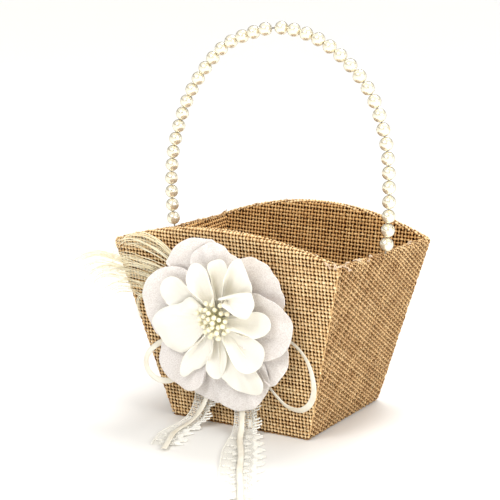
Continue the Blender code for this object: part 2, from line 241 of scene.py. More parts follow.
class ThreadMesh:
    """Gathers round or flattened threads into one mesh, with an attribute that runs along each of them."""

    def __init__(self) -> None:
        """Starts with no threads."""
        self.points: list[Array] = []
        self.quads: list[Array] = []
        self.marks: list[Array] = []
        self.size = 0

    def add(
        self,
        path: Array,
        normal: Array,
        half_width: Array | float,
        half_height: Array | float,
        sides: int,
        tone: float,
        dip: Array | float = 0.0,
    ) -> None:
        """Adds one closed thread along a path.

        Args:
            path: Points of its centre line.
            normal: The direction its flat face looks, one row or one per point.
            half_width: Half its width across, in metres, one value or one per point.
            half_height: Half its thickness along normal.
            sides: Corners of its cross-section, an even number.
            tone: A value from 0 to 1 by which the material varies this thread.
            dip: How deep it lies in the weave, from 0 on top to 1, one value or one per point; the burlap's
                material paints shade by it.
        """
        count = len(path)
        along = unit(np.gradient(path, axis=0))
        facing = np.broadcast_to(normal, path.shape)
        across = unit(np.cross(along, facing))
        facing = np.cross(across, along)
        wide = np.broadcast_to(half_width, count)[:, None, None]
        high = np.broadcast_to(half_height, count)[:, None, None]
        share = (np.arange(sides) + 0.5)[None, :] / sides
        turn = (2 * np.pi * share - np.pi / 2)[..., None]
        ring = np.cos(turn) * across[:, None, :] * wide + np.sin(turn) * facing[:, None, :] * high
        self.points.append((path[:, None, :] + ring).reshape(-1, 3))
        mark = np.empty((count, sides, 4))
        mark[..., 0] = distances(path)[:, None]
        mark[..., 1] = share
        mark[..., 2] = tone
        mark[..., 3] = np.broadcast_to(dip, count)[:, None]
        self.marks.append(mark.reshape(-1, 4))
        wall = grid_quads(count, sides, closed=True)
        steps = range(2, sides - 1, 2)
        first = [(0, i + 1, i, i - 1) for i in steps]
        last = [tuple((count - 1) * sides + k for k in (0, i - 1, i, i + 1)) for i in steps]
        self.quads.append(np.vstack([wall, first, last]) + self.size)
        self.size += count * sides

    def piece(self, name: str, finish: Material) -> Object:
        """Makes the gathered threads one named object."""
        obj = mesh_object(name, np.vstack(self.points), np.vstack(self.quads), finish)
        mark_points(obj, "thread", "FLOAT_COLOR", np.vstack(self.marks))
        return obj


def mesh_object(name: str, points: Array, quads: Array, finish: Material) -> Object:
    """Makes a smooth-shaded mesh object from points and four-sided faces.

    Args:
        name: The object's name.
        points: One row per vertex, in metres.
        quads: One row of four vertex numbers per face.
        finish: Its material.

    Returns:
        The object, linked to the scene.
    """
    mesh = bpy.data.meshes.new(name)
    mesh.vertices.add(len(points))
    mesh.vertices.foreach_set("co", points.astype(np.float32).ravel())
    mesh.loops.add(quads.size)
    mesh.loops.foreach_set("vertex_index", quads.astype(np.int32).ravel())
    mesh.polygons.add(len(quads))
    mesh.polygons.foreach_set("loop_start", np.arange(0, quads.size, 4, dtype=np.int32))
    mesh.update(calc_edges=True)
    mesh.shade_smooth()
    mesh.materials.append(finish)
    return linked(name, mesh)


def linked(name: str, data: bpy.types.ID) -> Object:
    """Makes an object of a mesh, a light or a camera and links it to the scene."""
    obj = bpy.data.objects.new(name, data)
    bpy.context.scene.collection.objects.link(obj)
    return obj


def mark_points(obj: Object, name: str, kind: str, rows: Array) -> None:
    """Stores one row per vertex as an attribute that the materials read."""
    marks = obj.data.attributes.new(name, kind, "POINT")
    member = "color" if kind == "FLOAT_COLOR" else "vector"
    marks.data.foreach_set(member, rows.astype(np.float32).ravel())


def grid_quads(rows: int, columns: int, closed: bool = False) -> Array:
    """The faces of a grid of rows by columns vertices, joined round the columns if closed."""
    here = np.arange(columns if closed else columns - 1)
    after = (here + 1) % columns
    row = np.arange(rows - 1)[:, None] * columns
    faces = np.stack([row + here, row + after, row + columns + after, row + columns + here], axis=-1)
    return faces.reshape(-1, 4)


def laid(plane: Array, *parts: Array) -> Array:
    """Turns a plane's own x, y and z into world points."""
    local = np.stack(np.broadcast_arrays(*parts, 1.0), axis=-1)
    return (local @ plane.T)[..., :3]


def path_on(place: Callable, u: Array, s: Array, lift: Array) -> tuple[Array, Array]:
    """Lays a thread's middle on a cloth, and returns its path and the way it faces."""
    path = place(u, s, lift)
    return path, place(u, s, lift + 0.1 * MM) - path


def dress(node: str, finish: Material) -> None:
    """Gives a frame node that stays in sight its own material."""
    mesh = frame["nodes"][node].data
    mesh.materials.clear()
    mesh.materials.append(finish)


def report(piece: Object, body: str, slot: str, *nodes: str) -> Object:
    """Rides a piece on its body, hides the nodes it stands for, and logs it with them.

    Args:
        piece: The new object.
        body: The frame body that it moves with.
        slot: The record's material slot; not used.
        *nodes: The frame nodes that it replaces.

    Returns:
        The same object.
    """
    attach(piece, body)
    if nodes:
        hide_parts(*nodes)
    LOG.info("%s on %s, for %s", piece.name, body, ", ".join(nodes) or "detail")
    return piece


# --------------------------------------------------------------------------------------------- finishes


@dataclass(frozen=True)
class JuteYarn:
    """Burlap: loosely spun jute, plain-woven. Matte and hairy, each yarn its own straw brown."""

    name: str = "jute burlap"
    pale: str = "FFEFC4"
    mid: str = "DDB782"
    deep: str = "7C4E1E"
    fibre_mm: float = 0.16  # width of a bundle of fibres on the yarn's skin
    streak_mm: float = 3.0  # how far a bundle runs before it dips out of sight
    twist_mm: float = 4.5  # length of one turn of the spin
    girth_mm: float = 3.6  # round the yarn
    ground: float = 0.21  # the tone that the shares below are added to
    streak_share: float = 0.60
    yarn_share: float = 0.12
    flank_shade_share: float = -3.0  # painted shade: darker from a yarn's top round to its underside, as its flanks lie in its neighbours' shade
    # painted shade where a yarn dips under another, read from the thread's dip
    dip_shade_share: float = -0.42
    patch_share: float = 0.18
    patch_mm: float = 1000 / 90

    def build(self) -> Material:
        """Returns the material: streaks wound round each yarn, with the yarn's own tone under them, and
        painted shade on its flanks and underside and where it dips under another yarn.
        """
        made = Surface(self.name)
        # dip: how deep the yarn lies in the weave, used for painted shade
        vector, dip = made.attribute("thread")
        run, turn, yarn = made.split(vector)
        along = made.maths("MULTIPLY", run, 1 / (self.streak_mm * MM))
        spin = made.maths("MULTIPLY", run, 1 / (self.twist_mm * MM))
        around = made.maths("MULTIPLY", made.maths("ADD", turn, spin), self.girth_mm / self.fibre_mm)
        own = made.maths("MULTIPLY", yarn, 97.0)
        streaks = made.noise(made.joined(along, around, own), UNSCALED, 3.0, 0.6)
        patches = made.noise(made.place(), self.patch_mm, 2.0)
        # painted shade: each yarn is darkened from its top round to its flanks and underside
        centred = made.maths("SUBTRACT", turn, 0.5)
        flank_shade = made.maths("MULTIPLY", centred, centred)
        tone = self.ground
        for level, share in (
            (streaks, self.streak_share),
            (yarn, self.yarn_share),
            (flank_shade, self.flank_shade_share),
            (dip, self.dip_shade_share),
            (patches, self.patch_share),
        ):
            tone = made.maths("MULTIPLY_ADD", level, share, tone)
        made.ramped(tone, (0.30, self.deep), (0.52, self.mid), (0.78, self.pale))
        made.bump(streaks, 0.9, 0.12 * MM)
        return made.finished(
            Roughness=0.88,
            IOR=1.5,
            Specular_IOR_Level=0.2,
            Sheen_Weight=0.06,
            Sheen_Roughness=0.5,
        )


@dataclass(frozen=True)
class GapShadeBoard:
    """Greyboard as it looks between the yarns: coloured deep brown as painted shade for the gaps between
    yarns, mottled.
    """

    name: str = "greyboard with painted gap shade"
    # both browns are painted shade, darker than bare greyboard, for the gaps between yarns
    pale: str = "5E3A10"
    deep: str = "321A04"
    grain_mm: float = 1.4

    def build(self) -> Material:
        """Returns the material: a coarse mottle with a little pulp grain."""
        made = Surface(self.name)
        pulp = made.noise(made.place(), self.grain_mm, 4.0)
        made.ramped(pulp, (0.35, self.deep), (0.70, self.pale))
        made.bump(pulp, 0.5, 0.1 * MM)
        return made.finished(Roughness=0.9, Specular_IOR_Level=0.2)


@dataclass(frozen=True)
class PearlCoat:
    """Imitation pearl: a moulded bead dipped in nacre lacquer, a clear gloss over a soft warm glow."""

    name: str = "nacre-dipped bead"
    face: str = "F9F0D6"
    # rim: the greyer gold towards the edge, partly nacre's own colour shift and partly painted dark
    # reflection
    rim: str = "857A5C"
    cloud_mm: float = 1000 / 420
    cloud_share: float = 0.06

    def build(self) -> Material:
        """Returns the material: cream seen face-on, greyer gold towards the edge, under a sharp coat; the
        greyer edge is partly the nacre's own colour shift and partly painted dark reflection.
        """
        made = Surface(self.name)
        facing = add_node(made.tree, "LayerWeight", {"Blend": 0.35}).outputs["Facing"]
        cloud = made.noise(made.place(), self.cloud_mm, 1.0)
        level = made.maths("MULTIPLY_ADD", cloud, self.cloud_share, facing)
        made.ramped(level, (0.36, self.face), (0.70, self.rim))
        return made.finished(
            Roughness=0.2,
            IOR=1.56,
            Specular_IOR_Level=0.6,
            Metallic=0.55,
            Coat_Weight=1.0,
            Coat_Roughness=0.04,
            Coat_IOR=1.6,
        )


@dataclass(frozen=True)
class DrawnWire:
    """Florist's wire: drawn steel, dull and faintly streaked along its length."""

    name: str = "drawn steel wire"
    colour: str = "A8A39A"
    scratch_mm: float = 0.5

    def build(self) -> Material:
        """Returns the material: a metal with fine drawing streaks in its roughness."""
        made = Surface(self.name)
        streak = made.noise(made.place(), self.scratch_mm, 2.0)
        made.feed("Roughness", made.spread(streak, 0.0, 1.0, 0.25, 0.5))
        return made.finished(Base_Color=linear(self.colour), Metallic=1.0)


@dataclass(frozen=True)
class PetalCloth:
    """Petal cloth, cut with a hot knife: sheer organza or close satin, both with a fine plain weave."""

    name: str
    light: str
    shade: str
    weave_mm: float
    glow: float  # share of light that passes through to the other side
    roughness: float
    sheen: float
    grain: float  # how much the weave shows in the colour

    def build(self) -> Material:
        """Returns the material: a woven grain in colour and bump, slightly see-through to light."""
        made = Surface(self.name)
        vector = made.attribute("cloth")[0]
        yarns = 2 * math.pi / (self.weave_mm * MM)
        across = made.split(vector)[:2]
        warp, weft = (made.maths("SINE", made.maths("MULTIPLY", part, yarns)) for part in across)
        fuzz = made.noise(vector, self.weave_mm, 3.0)
        grain = made.maths("MULTIPLY_ADD", made.maths("MULTIPLY", warp, weft), 0.35, fuzz)
        made.paint(made.spread(grain, 0.1, 0.9, 0.0, self.grain), self.light, self.shade)
        made.bump(grain, 0.35, 0.08 * MM)
        return made.finished(
            Roughness=self.roughness,
            Specular_IOR_Level=0.3,
            Sheen_Weight=self.sheen,
            Subsurface_Weight=self.glow,
            Subsurface_Radius=(1.0, 0.95, 0.85),
            Subsurface_Scale=1.5 * MM,
        )


@dataclass(frozen=True)
class Lacquer:
    """A small lacquered or waxed thing: a plain glossy skin with faint clouds in its colour."""

    name: str
    light: str
    shade: str
    roughness: float
    cloud_mm: float = 0.8

    def build(self) -> Material:
        """Returns the material: two close colours in soft clouds under a gloss."""
        made = Surface(self.name)
        made.paint(made.noise(made.place(), self.cloud_mm, 2.0), self.light, self.shade)
        return made.finished(Roughness=self.roughness, IOR=1.5)


@dataclass(frozen=True)
class FineThread:
    """Fine yarn such as lace cotton, feather barbs or satin floats: soft, with light running along it."""

    name: str
    light: str
    shade: str
    roughness: float
    streak_mm: float
    sheen: float = 0.3

    def build(self) -> Material:
        """Returns the material: tone that changes from thread to thread and slowly along each one."""
        made = Surface(self.name)
        run, turn, yarn = made.split(made.attribute("thread")[0])
        along = made.maths("MULTIPLY", run, 1 / (self.streak_mm * MM))
        own = made.maths("MULTIPLY", yarn, 61.0)
        streaks = made.noise(made.joined(along, turn, own), UNSCALED, 2.0)
        made.paint(made.spread(streaks, 0.3, 0.7, 0.0, 1.0), self.light, self.shade)
        return made.finished(Roughness=self.roughness, Specular_IOR_Level=0.3, Sheen_Weight=self.sheen)


@dataclass(frozen=True)
class CottonNet:
    """Lace ground: a knotted net of fine cotton, too fine to model, so its holes are cut in the material."""

    name: str = "cotton net"
    colour: str = "F3F0E6"
    mesh_mm: float = 1.1  # drawn a little coarser than the real 0.8 mm, so that the net shows

    def build(self) -> Material:
        """Returns the material: round holes in an uneven lattice, through the cloth's own coordinates."""
        made = Surface(self.name)
        vector = made.attribute("cloth")[0]
        links = {"Vector": vector, "Scale": 1 / (self.mesh_mm * MM), "Randomness": 0.35}
        settings = {"voronoi_dimensions": "2D", "feature": "DISTANCE_TO_EDGE"}
        cells = add_node(made.tree, "TexVoronoi", links, **settings)
        made.feed("Alpha", made.spread(cells.outputs["Distance"], 0.10, 0.16, 1.0, 0.0))
        return made.finished(Base_Color=linear(self.colour), Roughness=0.85, Specular_IOR_Level=0.2)


# ------------------------------------------------------------------------------------------ the burlap tub


class Side(Enum):
    """The four sides of the tub, by the turn from the front."""

    FRONT = 0
    RIGHT = 90
    BACK = 180
    LEFT = 270


@dataclass
class WallFace:
    """One side of the tub as a surface that cloth can be laid on, in metres.

    A place on it is (u, s): across it from its middle, and up its slope from the floor.
    """

    side: Side
    out: float
    across: float
    flare: float
    across_flare: float
    rim_left: float
    rim_right: float
    arch: float
    wall: float
    corner_round: float = 1.1 * MM
    ear: float = 0.0  # how far the cloth stands up at the rim's left end
    dent: float = 0.0  # how far the wire's foot presses the hem down, at the rim's middle
    dent_reach: float = 6 * MM
    sink: float = 0.35 * MM  # how far each cloth's middle lies under the wall's outline

    @property
    def frame(self) -> Array:
        """The wall's plane in the world as a 4 x 4 matrix: x across, y up the slope, z out of the cloth."""
        lean = Matrix.Rotation(math.pi / 2 + self.flare, 4, "X")
        turn = Matrix.Rotation(math.radians(self.side.value), 4, "Z")
        return np.array(turn @ Matrix.Translation((0, -self.out, 0)) @ lean)

    @property
    def outward(self) -> Array:
        """The direction that the outer cloth faces."""
        return self.frame[:3, 2]

    def half_width(self, s: Array | float, inset: float = 0.0) -> Array:
        """Half the wall's width at slope distance s, measured at a depth of inset."""
        height = s * math.cos(self.flare) + inset * math.sin(self.flare)
        return self.across + height * math.tan(self.across_flare) - inset / math.cos(self.across_flare)

    def rim(self, u: Array | float) -> Array:
        """The rim's distance up the slope at u."""
        top = self.across + self.rim_left * math.tan(self.across_flare)
        t = np.clip(u / top, -1.1, 1.1)
        level = (self.rim_left + self.rim_right) / 2 + t * (self.rim_right - self.rim_left) / 2
        level = level + self.arch * (1 - t * t) + self.ear * rise(-t, 0.82, 0.18)
        return (level - self.dent * np.exp(-((u / self.dent_reach) ** 2))) / math.cos(self.flare)

    def outer(self, u: Array, s: Array, lift: Array) -> Array:
        """Places the outer cloth: round the corners and over the rim.

        Args:
            u: Across the wall.
            s: Up the slope, and on past the rim over its roll and down inside.
            lift: Distance out of the cloth's middle.

        Returns:
            World points.
        """
        roll = self.wall / 2
        lift = lift - self.sink
        start = self.rim(u) - roll
        past = np.maximum(s - start, 0)
        turn = np.minimum(past / roll, np.pi)
        below = np.minimum(s, start)
        up = below + (roll + lift) * np.sin(turn) - np.maximum(past - np.pi * roll, 0)
        depth = roll - (roll + lift) * np.cos(turn)
        half = self.half_width(below)
        wrap = np.clip(self.corner_round - (half - np.abs(u)), 0, None) / self.corner_round
        wrap = np.minimum(wrap, np.pi / 4)
        straight = np.minimum(np.abs(u), half - self.corner_round)
        reach = straight + (self.corner_round + lift) * np.sin(wrap)
        depth = depth + (self.corner_round + lift) * (1 - np.cos(wrap))
        return laid(self.frame, np.sign(u) * reach, up, -depth)

    def outer_inside(self, u: float, s: float) -> bool:
        """Whether the outer cloth reaches this place."""
        roll = self.wall / 2
        end = self.rim(u) - roll + 0.93 * np.pi * roll
        width = self.half_width(min(s, end)) - 0.23 * self.corner_round
        return 1.3 * MM <= s <= end and abs(u) <= width

    def inner(self, u: Array, s: Array, lift: Array) -> Array:
        """Places the lining on the wall's inner face; lift is towards the inside of the tub."""
        return laid(self.frame, u, s, -(self.wall - self.sink) - lift)

    def inner_inside(self, u: float, s: float) -> bool:
        """Whether the lining reaches this place."""
        top = self.rim(u) - 0.40 * self.wall
        return 4.2 * MM <= s <= top and abs(u) <= self.half_width(s, self.wall) - 0.1 * MM


@dataclass(frozen=True)
class Panel:
    """A stretch of cloth, and the square of yarns that covers it."""

    place: Callable  # turns (u, s, lift) arrays into world points
    inside: Callable  # whether the cloth reaches (u, s)
    reach: float  # half the square's size
    middle: float = 0.0  # how far up the slope the square's middle is


@dataclass
class Burlap:
    """Plain-weaves one panel of burlap from separate yarns."""

    pitch: float = 2.15 * MM
    yarn_width: float = 1.26 * MM
    yarn_height: float = 0.86 * MM
    wave: float = 0.38 * MM
    drift: float = 0.10 * MM  # how far a yarn wanders from its line
    weft_share: float = 1.14  # how thick the level yarns are; the upright ones are as much thinner
    float_swell: float = 0.20  # how much a yarn swells where it floats over another
    dip_shade_strength: float = 1.0  # how much painted shade darkens a yarn where it dips under another
    jitter: float = 0.045  # how unevenly the yarns are spaced, as a share of the pitch
    slub: float = 0.09  # how much a yarn's thickness changes, from yarn to yarn and along each
    sides: int = 6
    drift_waves: tuple[float, ...] = (14.0 * MM, 31.0 * MM, 7.5 * MM)
    shortest: int = 3  # points in the shortest run of yarn that is kept
    hairs: float = 260.0  # loose hairs on a square of hair_reach each way
    hair_reach: float = 60 * MM
    hair_radius: float = 0.045 * MM

    def lines(self, rng: np.random.Generator, reach: float) -> Array:
        """Yarn positions from -reach to reach, one pitch apart and a little uneven."""
        count = int(reach / self.pitch)
        even = np.arange(-count, count + 1) * self.pitch
        return even + rng.normal(0, self.jitter * self.pitch, len(even))

    def weave(self, name: str, panel: Panel, grain: float, seed: int, finish: Material) -> Object:
        """Weaves a panel.

        Args:
            name: The piece's name.
            panel: Where the cloth lies.
            grain: The weave's turn from upright, in radians.
            seed: Of the cloth's unevenness.
            finish: Its material.

        Returns:
            The woven panel.
        """
        rng = np.random.default_rng(seed)
        threads = ThreadMesh()
        warp, weft = self.lines(rng, panel.reach), self.lines(rng, panel.reach)
        cos, sin = math.cos(grain), math.sin(grain)
        for upright in (True, False):
            own, others = (warp, weft) if upright else (weft, warp)
            steps = np.sort(np.concatenate([others, (others[1:] + others[:-1]) / 2]))
            over = np.zeros(len(steps))
            over[::2] = np.where(np.arange(len(others)) % 2, 1.0, -1.0)
            share = 2 - self.weft_share if upright else self.weft_share
            for index, line in enumerate(own):
                sign = (1 if index % 2 else -1) * (1 if upright else -1)
                wander = rng.normal(0, 1, 3)
                phase = rng.uniform(0, 2 * np.pi, 3)
                terms = zip(wander, self.drift_waves, phase)
                shift = sum(w * np.sin(steps * 2 * np.pi / k + p) for w, k, p in terms)
                offset = line + self.drift * 0.5 * shift
                a, b = (offset, steps) if upright else (steps, offset)
                u = a * cos - b * sin
                s = panel.middle + a * sin + b * cos
                kept = self.clip(u, s, sign * over * self.wave, panel)
                if kept is None:
                    continue
                u, s, lift = kept
                swing = lift / self.wave
                slub = 1 + self.slub * rng.normal()
                slub = slub + self.slub * np.sin(np.arange(len(u)) * rng.uniform(0.1, 0.5) + phase[0])
                slub = slub + rng.normal(0, 0.05, len(u)) + self.float_swell * swing
                slub = slub - 0.10 * (np.abs(lift) < 0.1 * self.wave)
                tone = float(np.clip(rng.normal(0.5, 0.22), 0, 1))
                width, height = self.yarn_width / 2 * slub * share, self.yarn_height / 2 * slub
                # painted shade: a yarn's dip, which darkens it where it passes under another
                dip = 0.5 - 0.5 * self.dip_shade_strength * swing
                threads.add(*path_on(panel.place, u, s, lift), width, height, self.sides, tone, dip)
        self.fuzz(threads, rng, panel)
        return threads.piece(name, finish)

    def clip(self, u: Array, s: Array, lift: Array, panel: Panel) -> Array | None:
        """Cuts a yarn to the run of its points that lie inside, with its ends exactly on the edge."""
        kept = np.flatnonzero([panel.inside(x, y) for x, y in zip(u, s)])
        if len(kept) < self.shortest:
            return None
        first, last = kept[0], kept[-1]
        rows = np.stack([u, s, lift], axis=1)
        run = [rows[first : last + 1]]
        for end, beyond in ((first, first - 1), (last, last + 1)):
            if not 0 <= beyond < len(rows):
                continue
            near, far = rows[end], rows[beyond]
            for _ in range(8):
                middle = (near + far) / 2
                near, far = (middle, far) if panel.inside(middle[0], middle[1]) else (near, middle)
            if np.linalg.norm(near[:2] - rows[end][:2]) > 0.15 * MM:
                run.insert(0 if beyond < end else len(run), near[None])
        return np.vstack(run).T

    def fuzz(self, threads: ThreadMesh, rng: np.random.Generator, panel: Panel) -> None:
        """Adds loose jute hairs that stand off the cloth in short arcs."""
        reach = panel.reach
        for _ in range(int(self.hairs * (reach / self.hair_reach) ** 2)):
            u, s = rng.uniform(-reach, reach), panel.middle + rng.uniform(-reach, reach)
            angle, length = rng.uniform(0, 2 * np.pi), rng.uniform(2.0, 6.5) * MM
            t = np.linspace(0, 1, 6)
            bend = rng.normal(0, 0.5)
            us = u + length * t * np.cos(angle + bend * t)
            ss = s + length * t * np.sin(angle + bend * t)
            if not all(panel.inside(x, y) for x, y in zip(us, ss)):
                continue
            lift = (0.35 + rng.uniform(0.25, 1.1) * np.sin(np.pi * t * rng.uniform(0.55, 1.0))) * MM
            path, facing = path_on(panel.place, us, ss, lift)
            threads.add(path, facing, self.hair_radius, self.hair_radius, 4, float(rng.uniform(0.6, 1.0)))


def close_burlap() -> Burlap:
    """The closer, flatter weave of the tub's two side panels."""
    return Burlap(
        yarn_width=1.04 * MM,
        yarn_height=0.50 * MM,
        wave=0.27 * MM,
        drift=0.15 * MM,
        weft_share=1.0,
        dip_shade_strength=0.35,
        jitter=0.09,
    )


@dataclass
class BurlapTub:
    """The tub's cloth: four outer panels, a base, and a lining of four walls and a floor, over boards."""

    wall: float = 4.2 * MM
    side_grain: float = math.radians(-31)  # the side panels are cut on the slant
    weaver: Burlap = field(default_factory=Burlap)
    close_weaver: Burlap = field(default_factory=close_burlap)
    thin_weaver: Burlap = field(default_factory=lambda: Burlap(sides=4))
    faces: dict[Side, WallFace] = field(default_factory=dict)

    def measure(self) -> None:
        """Reads the tub's outer shape from the frame."""
        half_width, half_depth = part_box("base_cloth")[1].xy
        right_low, right_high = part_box("right_cloth")
        front_rim = right_high.z
        front_flare = math.atan2(-right_low.y - half_depth, front_rim)
        side_flare = math.atan2(right_high.x - half_width, front_rim)
        back_rim = (right_high.y - half_depth) / math.tan(front_flare)
        front_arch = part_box("front_cloth")[1].z - front_rim
        back_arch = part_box("back_cloth")[1].z - back_rim
        for side, *ends in (
            (Side.FRONT, front_rim, front_rim, front_arch),
            (Side.RIGHT, front_rim, back_rim, 0.0),
            (Side.BACK, back_rim, back_rim, back_arch),
            (Side.LEFT, back_rim, front_rim, 0.0),
        ):
            shape = (half_depth, half_width, front_flare, side_flare)
            if side in (Side.RIGHT, Side.LEFT):
                shape = (half_width, half_depth, side_flare, front_flare)
            self.faces[side] = WallFace(side, *shape, *ends, self.wall)
        self.faces[Side.LEFT].ear = 2.0 * MM
        self.faces[Side.LEFT].dent = self.faces[Side.RIGHT].dent = 0.7 * MM

    def build(self) -> None:
        """Weaves every panel and dresses the boards behind them."""
        jute = JuteYarn().build()
        lining = JuteYarn(name="jute lining", pale="FFDFA4", mid="D3A365", deep="844E18").build()
        board = GapShadeBoard().build()
        for node in ("front_board", "back_board", "left_board", "right_board", "base_board"):
            dress(node, board)
        for number, (side, face) in enumerate(self.faces.items()):
            key = side.name.lower()
            on_slant = side in (Side.RIGHT, Side.LEFT)
            grain = self.side_grain if on_slant else 0.0
            weaver = self.close_weaver if on_slant else self.weaver
            outside = Panel(face.outer, face.outer_inside, 92 * MM, 58 * MM)
            outer = weaver.weave(f"{key}_burlap", outside, grain, 10 + number, jute)
            report(outer, "basket", "burlap", f"{key}_cloth")
            within = Panel(face.inner, face.inner_inside, 92 * MM, 58 * MM)
            inner = self.thin_weaver.weave(f"{key}_lining", within, 0.0, 20 + number, lining)
            report(inner, "basket", "lining_burlap", "lining")
        self.corners(jute)
        self.frays(jute)
        self.floor_cloths(jute, lining)

    def corners(self, jute: Material) -> None:
        """Lays a yarn down each corner, where two panels' cut edges meet under it."""
        threads = ThreadMesh()
        rng = np.random.default_rng(5)
        count = 96
        for side in Side:
            face = self.faces[side]
            top = face.rim_right / math.cos(face.flare) - 1.2 * MM
            s = np.linspace(1.4 * MM, top, count)
            u = face.half_width(s) - 0.22 * face.corner_round
            wander = 0.24 * MM * np.sin(s * math.pi / self.weaver.pitch + rng.uniform(0, 6))
            wander = wander + rng.normal(0, 0.04 * MM, count)
            path, facing = path_on(face.outer, u, s, wander)
            plump = 1 + rng.normal(0, 0.12, count)
            tone = float(rng.uniform(0.3, 0.6))
            # the dip of 0.45 gives each corner yarn a middling painted shade
            threads.add(path, facing, 0.52 * MM * plump, 0.42 * MM * plump, 6, tone, 0.45)
        report(threads.piece("corner_yarns", jute), "basket", "burlap")

    def frays(self, jute: Material) -> None:
        """Lays hot-glue strings and loose yarn ends along the rims, most near the front right corner."""
        rng = np.random.default_rng(9)
        glue = Lacquer("hot glue", "E2CDB2", "C3A382", 0.4).build()
        strings, ends = ThreadMesh(), ThreadMesh()
        for side, low, high, count in (
            (Side.FRONT, 0.78, 0.98, 9),
            (Side.RIGHT, -0.97, -0.28, 12),
            (Side.RIGHT, 0.28, 0.9, 4),
            (Side.BACK, -0.9, 0.9, 3),
            (Side.LEFT, -0.9, -0.28, 3),
            (Side.LEFT, 0.28, 0.9, 3),
        ):
            face = self.faces[side]
            for number in range(count):
                u0 = rng.uniform(low, high) * face.half_width(face.rim_left)
                t = np.linspace(0, 1, 10)
                u = u0 + rng.uniform(1.5, 7.0) * MM * (t - 0.5)
                crest = face.rim(u) - self.wall / 2
                over = rng.uniform(0.4, 2.2) + rng.normal(0, 0.5) * t + 0.3 * np.sin(t * 9)
                s = crest + self.wall / 2 * over
                lift = (0.75 + 0.35 * np.sin(t * rng.uniform(3, 8)) ** 2) * MM
                swell = (0.16 + 0.30 * rng.random() * np.sin(np.pi * t) ** 0.7) * MM
                thread, scale = (ends, 0.35) if number % 3 == 0 else (strings, 1.0)
                width, height = swell * scale, swell * scale * 0.8
                thread.add(*path_on(face.outer, u, s, lift), width, height, 6, float(rng.uniform(0.6, 1.0)))
        report(strings.piece("rim_glue", glue), "basket", "burlap")
        report(ends.piece("rim_frays", jute), "basket", "burlap")

    def level_panel(self, height: float, lifted: float, half_x: float, half_y: float) -> Panel:
        """A flat panel at a height, half_x by half_y either way, its lift scaled by lifted."""

        def place(u: Array, s: Array, lift: Array) -> Array:
            """Lays the cloth flat."""
            return np.stack([u, s, height + lift * lifted], axis=-1)

        def inside(u: float, s: float) -> bool:
            """Whether the cloth reaches this place."""
            return abs(u) <= half_x and abs(s) <= half_y

        return Panel(place, inside, 60 * MM)

    def floor_cloths(self, jute: Material, lining: Material) -> None:
        """Weaves the base cloth under the tub, facing down, and the lining on its floor."""
        margin = 0.3 * MM
        low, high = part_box("base_cloth")
        under = self.level_panel(low.z + 0.62 * MM, -0.55, high.x - margin, high.y - margin)
        base = Burlap(sides=4, yarn_height=0.5 * MM).weave("base_burlap", under, 0.0, 31, jute)
        report(base, "basket", "burlap", "base_cloth")
        sides = (self.faces[Side.FRONT], self.faces[Side.RIGHT])
        halves = [face.half_width(4 * MM, self.wall) - margin for face in sides]
        inside = self.level_panel(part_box("lining")[0].z + 0.6 * MM, 1.0, *halves)
        floor = self.thin_weaver.weave("floor_lining", inside, 0.0, 32, lining)
        report(floor, "basket", "lining_burlap", "lining")


# ---------------------------------------------------------------------------------------------- the handle


@dataclass
class PearlHandle:
    """Round pearls in place of the frame's faceted ones, on the frame's own wire."""

    segments: int = 36
    spans: int = 20
    hole: float = 0.75 * MM
    lip: float = 0.16 * MM

    def bead(self, node: str, finish: Material) -> Object:
        """Builds one bored, round pearl where the frame's is.

        Args:
            node: The frame's pearl.
            finish: The pearl material.

        Returns:
            The new pearl.
        """
        corners = np.array([vertex.co for vertex in frame["nodes"][node].data.vertices])
        centre = (corners.min(axis=0) + corners.max(axis=0)) / 2
        radius = np.linalg.norm(corners - centre, axis=1).max() + 0.04 * MM
        axis = self.bore_direction(corners - centre)
        side = unit(np.cross(axis, [0.0, 1.0, 0.0]))
        other = np.cross(axis, side)
        hole, lip = self.hole, self.lip
        pole = math.asin(hole / radius)
        mouth = radius * math.cos(pole)
        angles = np.linspace(pole + lip / radius, np.pi - pole - lip / radius, self.spans + 1)
        rings = [(hole, 0.0), (hole, mouth - lip), (hole + 0.3 * lip, mouth - 0.2 * lip)]
        rings += [(radius * math.sin(a), radius * math.cos(a)) for a in angles]
        rings += [(hole + 0.3 * lip, 0.2 * lip - mouth), (hole, lip - mouth)]
        turn = 2 * np.pi * np.arange(self.segments) / self.segments
        wheel = np.cos(turn)[:, None] * side + np.sin(turn)[:, None] * other
        points = np.vstack([centre + wheel * r + axis * h for r, h in rings])
        quads = grid_quads(len(rings) + 1, self.segments, closed=True) % len(points)
        return mesh_object(node.replace("pearl", "bead"), points, quads[:, ::-1], finish)

    def bore_direction(self, corners: Array) -> Array:
        """The direction of a faceted pearl's bore, from the ring of corners round its mouth."""
        best, found = -1.0, np.array([0.0, 0.0, 1.0])
        for angle in np.linspace(0, np.pi, 361):
            axis = np.array([math.sin(angle), 0.0, math.cos(angle)])
            height = corners @ axis
            radial = np.linalg.norm(corners - height[:, None] * axis, axis=1)
            score = height.max() - radial[height > height.max() - 0.02 * MM].std() * 50
            if score > best and radial.min() > 0.5 * MM:
                best, found = score, axis
        return found

    def build(self) -> None:
        """Builds all the pearls and dresses the wire."""
        nacre = PearlCoat().build()
        dress("handle_wire", DrawnWire().build())
        for body, nodes in frame["record"]["behaviour"]["bodies"].items():
            for node in sorted(nodes):
                if node.startswith("pearl"):
                    report(self.bead(node, nacre), body, "pearl", node)


# ---------------------------------------------------------------------------------------------- the flower


class Cloth(Enum):
    """The flower's two petal cloths, by their slots in the record."""

    ORGANZA = "organza"
    SATIN = "satin"


